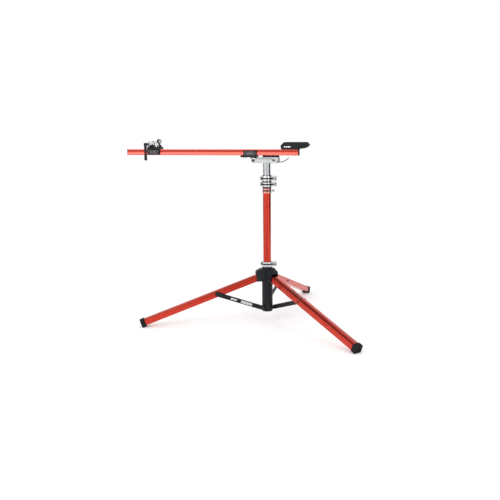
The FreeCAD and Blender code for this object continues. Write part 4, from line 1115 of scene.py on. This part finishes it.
make_mast()
make_stop()
make_post()
make_hub()
for number in LEGS:
    make_leg(number)
    make_strut(number)
    make_clamp(number)
make_head()
make_beam()
make_cradle()
make_carriage()
make_slider()
make_fork_skewer()
make_slider_lever()
make_marks()


# ---------------------------------------------------------------- floor, light and camera
WHITE = (1, 1, 1, 1)


def flat(name, width, height, material):
    """A rectangle for the stage, facing along its own Z and centred on its origin."""
    a, b = width / 2, height / 2
    mesh = bpy.data.meshes.new(name)
    mesh.from_pydata([(-a, -b, 0), (a, -b, 0), (a, b, 0), (-a, b, 0)], [], [(0, 1, 2, 3)])
    mesh.materials.append(material)
    obj = bpy.data.objects.new(name, mesh)
    bpy.context.scene.collection.objects.link(obj)
    return obj


def turned_to(axis, place, target):
    """The rotation that points an object's own axis from a place at a target."""
    return (Vector(target) - Vector(place)).to_track_quat(axis, "Y").to_euler()


def make_floor():
    """A white floor that shines a little of its own, so that it runs into the white of the studio."""
    material, tree, shader = blank("studio_floor")
    tone = grainy(tree, (1, 1, 1), 3, detail=4)
    tree.links.new(blended(tree, tone, (0.90, 0.90, 0.90), (0.93, 0.93, 0.93)), shader.inputs["Base Color"])
    shader.inputs["Roughness"].default_value = 0.8
    shader.inputs["Specular IOR Level"].default_value = 0.0
    shader.inputs["Emission Color"].default_value = WHITE
    shader.inputs["Emission Strength"].default_value = 0.10
    floor = flat("floor", 60.0, 60.0, material)
    gap = 0.0005
    floor.location.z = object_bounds()[0].z - gap


def make_card(name, place, target, width, height, tone):
    """A grey studio card that shows in shiny surfaces alone, as the flags round a product shot do."""
    material, tree, shader = blank(name)
    weave = grainy(tree, (1, 1, 1), 9, detail=3)
    tree.links.new(blended(tree, weave, (0.9 * tone,) * 3, (1.1 * tone,) * 3), shader.inputs["Base Color"])
    shader.inputs["Roughness"].default_value = 0.9
    shader.inputs["Specular IOR Level"].default_value = 0.0
    card = flat(name, width, height, material)
    card.location = place
    card.rotation_euler = turned_to("Z", place, target)
    card.visible_camera = False
    card.visible_diffuse = False
    card.visible_shadow = False


def around(bearing, distance, height):
    """A place at a bearing from +Y towards +X, in degrees."""
    angle = math.radians(bearing)
    return (distance * math.sin(angle), distance * math.cos(angle), height)


def make_light(name, place, target, size, power):
    light = bpy.data.lights.new(name, "AREA")
    light.shape = "RECTANGLE"
    light.size, light.size_y = size
    light.energy = power
    obj = bpy.data.objects.new(name, light)
    bpy.context.scene.collection.objects.link(obj)
    obj.location = place
    obj.rotation_euler = turned_to("-Z", place, target)


def make_world():
    world = bpy.data.worlds.new("studio")
    bpy.context.scene.world = world
    world.use_nodes = True
    background = world.node_tree.nodes["Background"]
    background.inputs["Color"].default_value = WHITE
    background.inputs["Strength"].default_value = 1.0


CAMERA_PLACE = Vector((0.8711, -3.4965, 1.0771))
CAMERA_YAW = math.radians(15.473)
CAMERA_PITCH = math.radians(-10.621)
CAMERA_ROLL = math.radians(-0.556)
SENSOR = 36.0
FOCAL_SHARE = 673.47 / 500  # the focal length over the sensor's width


def make_camera():
    camera = bpy.data.cameras.new("camera")
    camera.sensor_width = SENSOR
    camera.lens = SENSOR * FOCAL_SHARE
    camera.clip_end = 100
    obj = bpy.data.objects.new("camera", camera)
    bpy.context.scene.collection.objects.link(obj)
    turn = Matrix.Rotation(CAMERA_YAW, 4, "Z") @ Matrix.Rotation(math.pi / 2 + CAMERA_PITCH, 4, "X")
    obj.matrix_world = Matrix.Translation(CAMERA_PLACE) @ turn @ Matrix.Rotation(CAMERA_ROLL, 4, "Z")
    bpy.context.scene.camera = obj


make_floor()
make_world()
make_light("key", around(207, 3.6, 1.95), (0, 0, 0.9), (2.5, 2.5), 52)
make_light("strip", around(129, 3.0, 1.3), (0, 0, 0.8), (0.5, 2.4), 10)
make_card("card_right", around(62, 3.0, 1.3), (0, 0, 1.3), 5.2, 3.0, 0.12)
make_card("card_left", around(280, 3.0, 1.3), (0, 0, 1.3), 3.0, 3.0, 0.45)
make_card("card_front", around(152, 3.0, 1.2), (0, 0, 1.2), 0.6, 2.6, 0.10)
make_card("card_top", (-0.9, 0.6, 3.4), (-0.9, 0.6, 0), 3.6, 4.6, 0.22)
make_card("card_low", (-0.6, -1.9, 0.01), (-0.6, -1.9, 1), 4.2, 2.6, 0.62)
make_camera()
bpy.context.scene.view_settings.view_transform = "Standard"
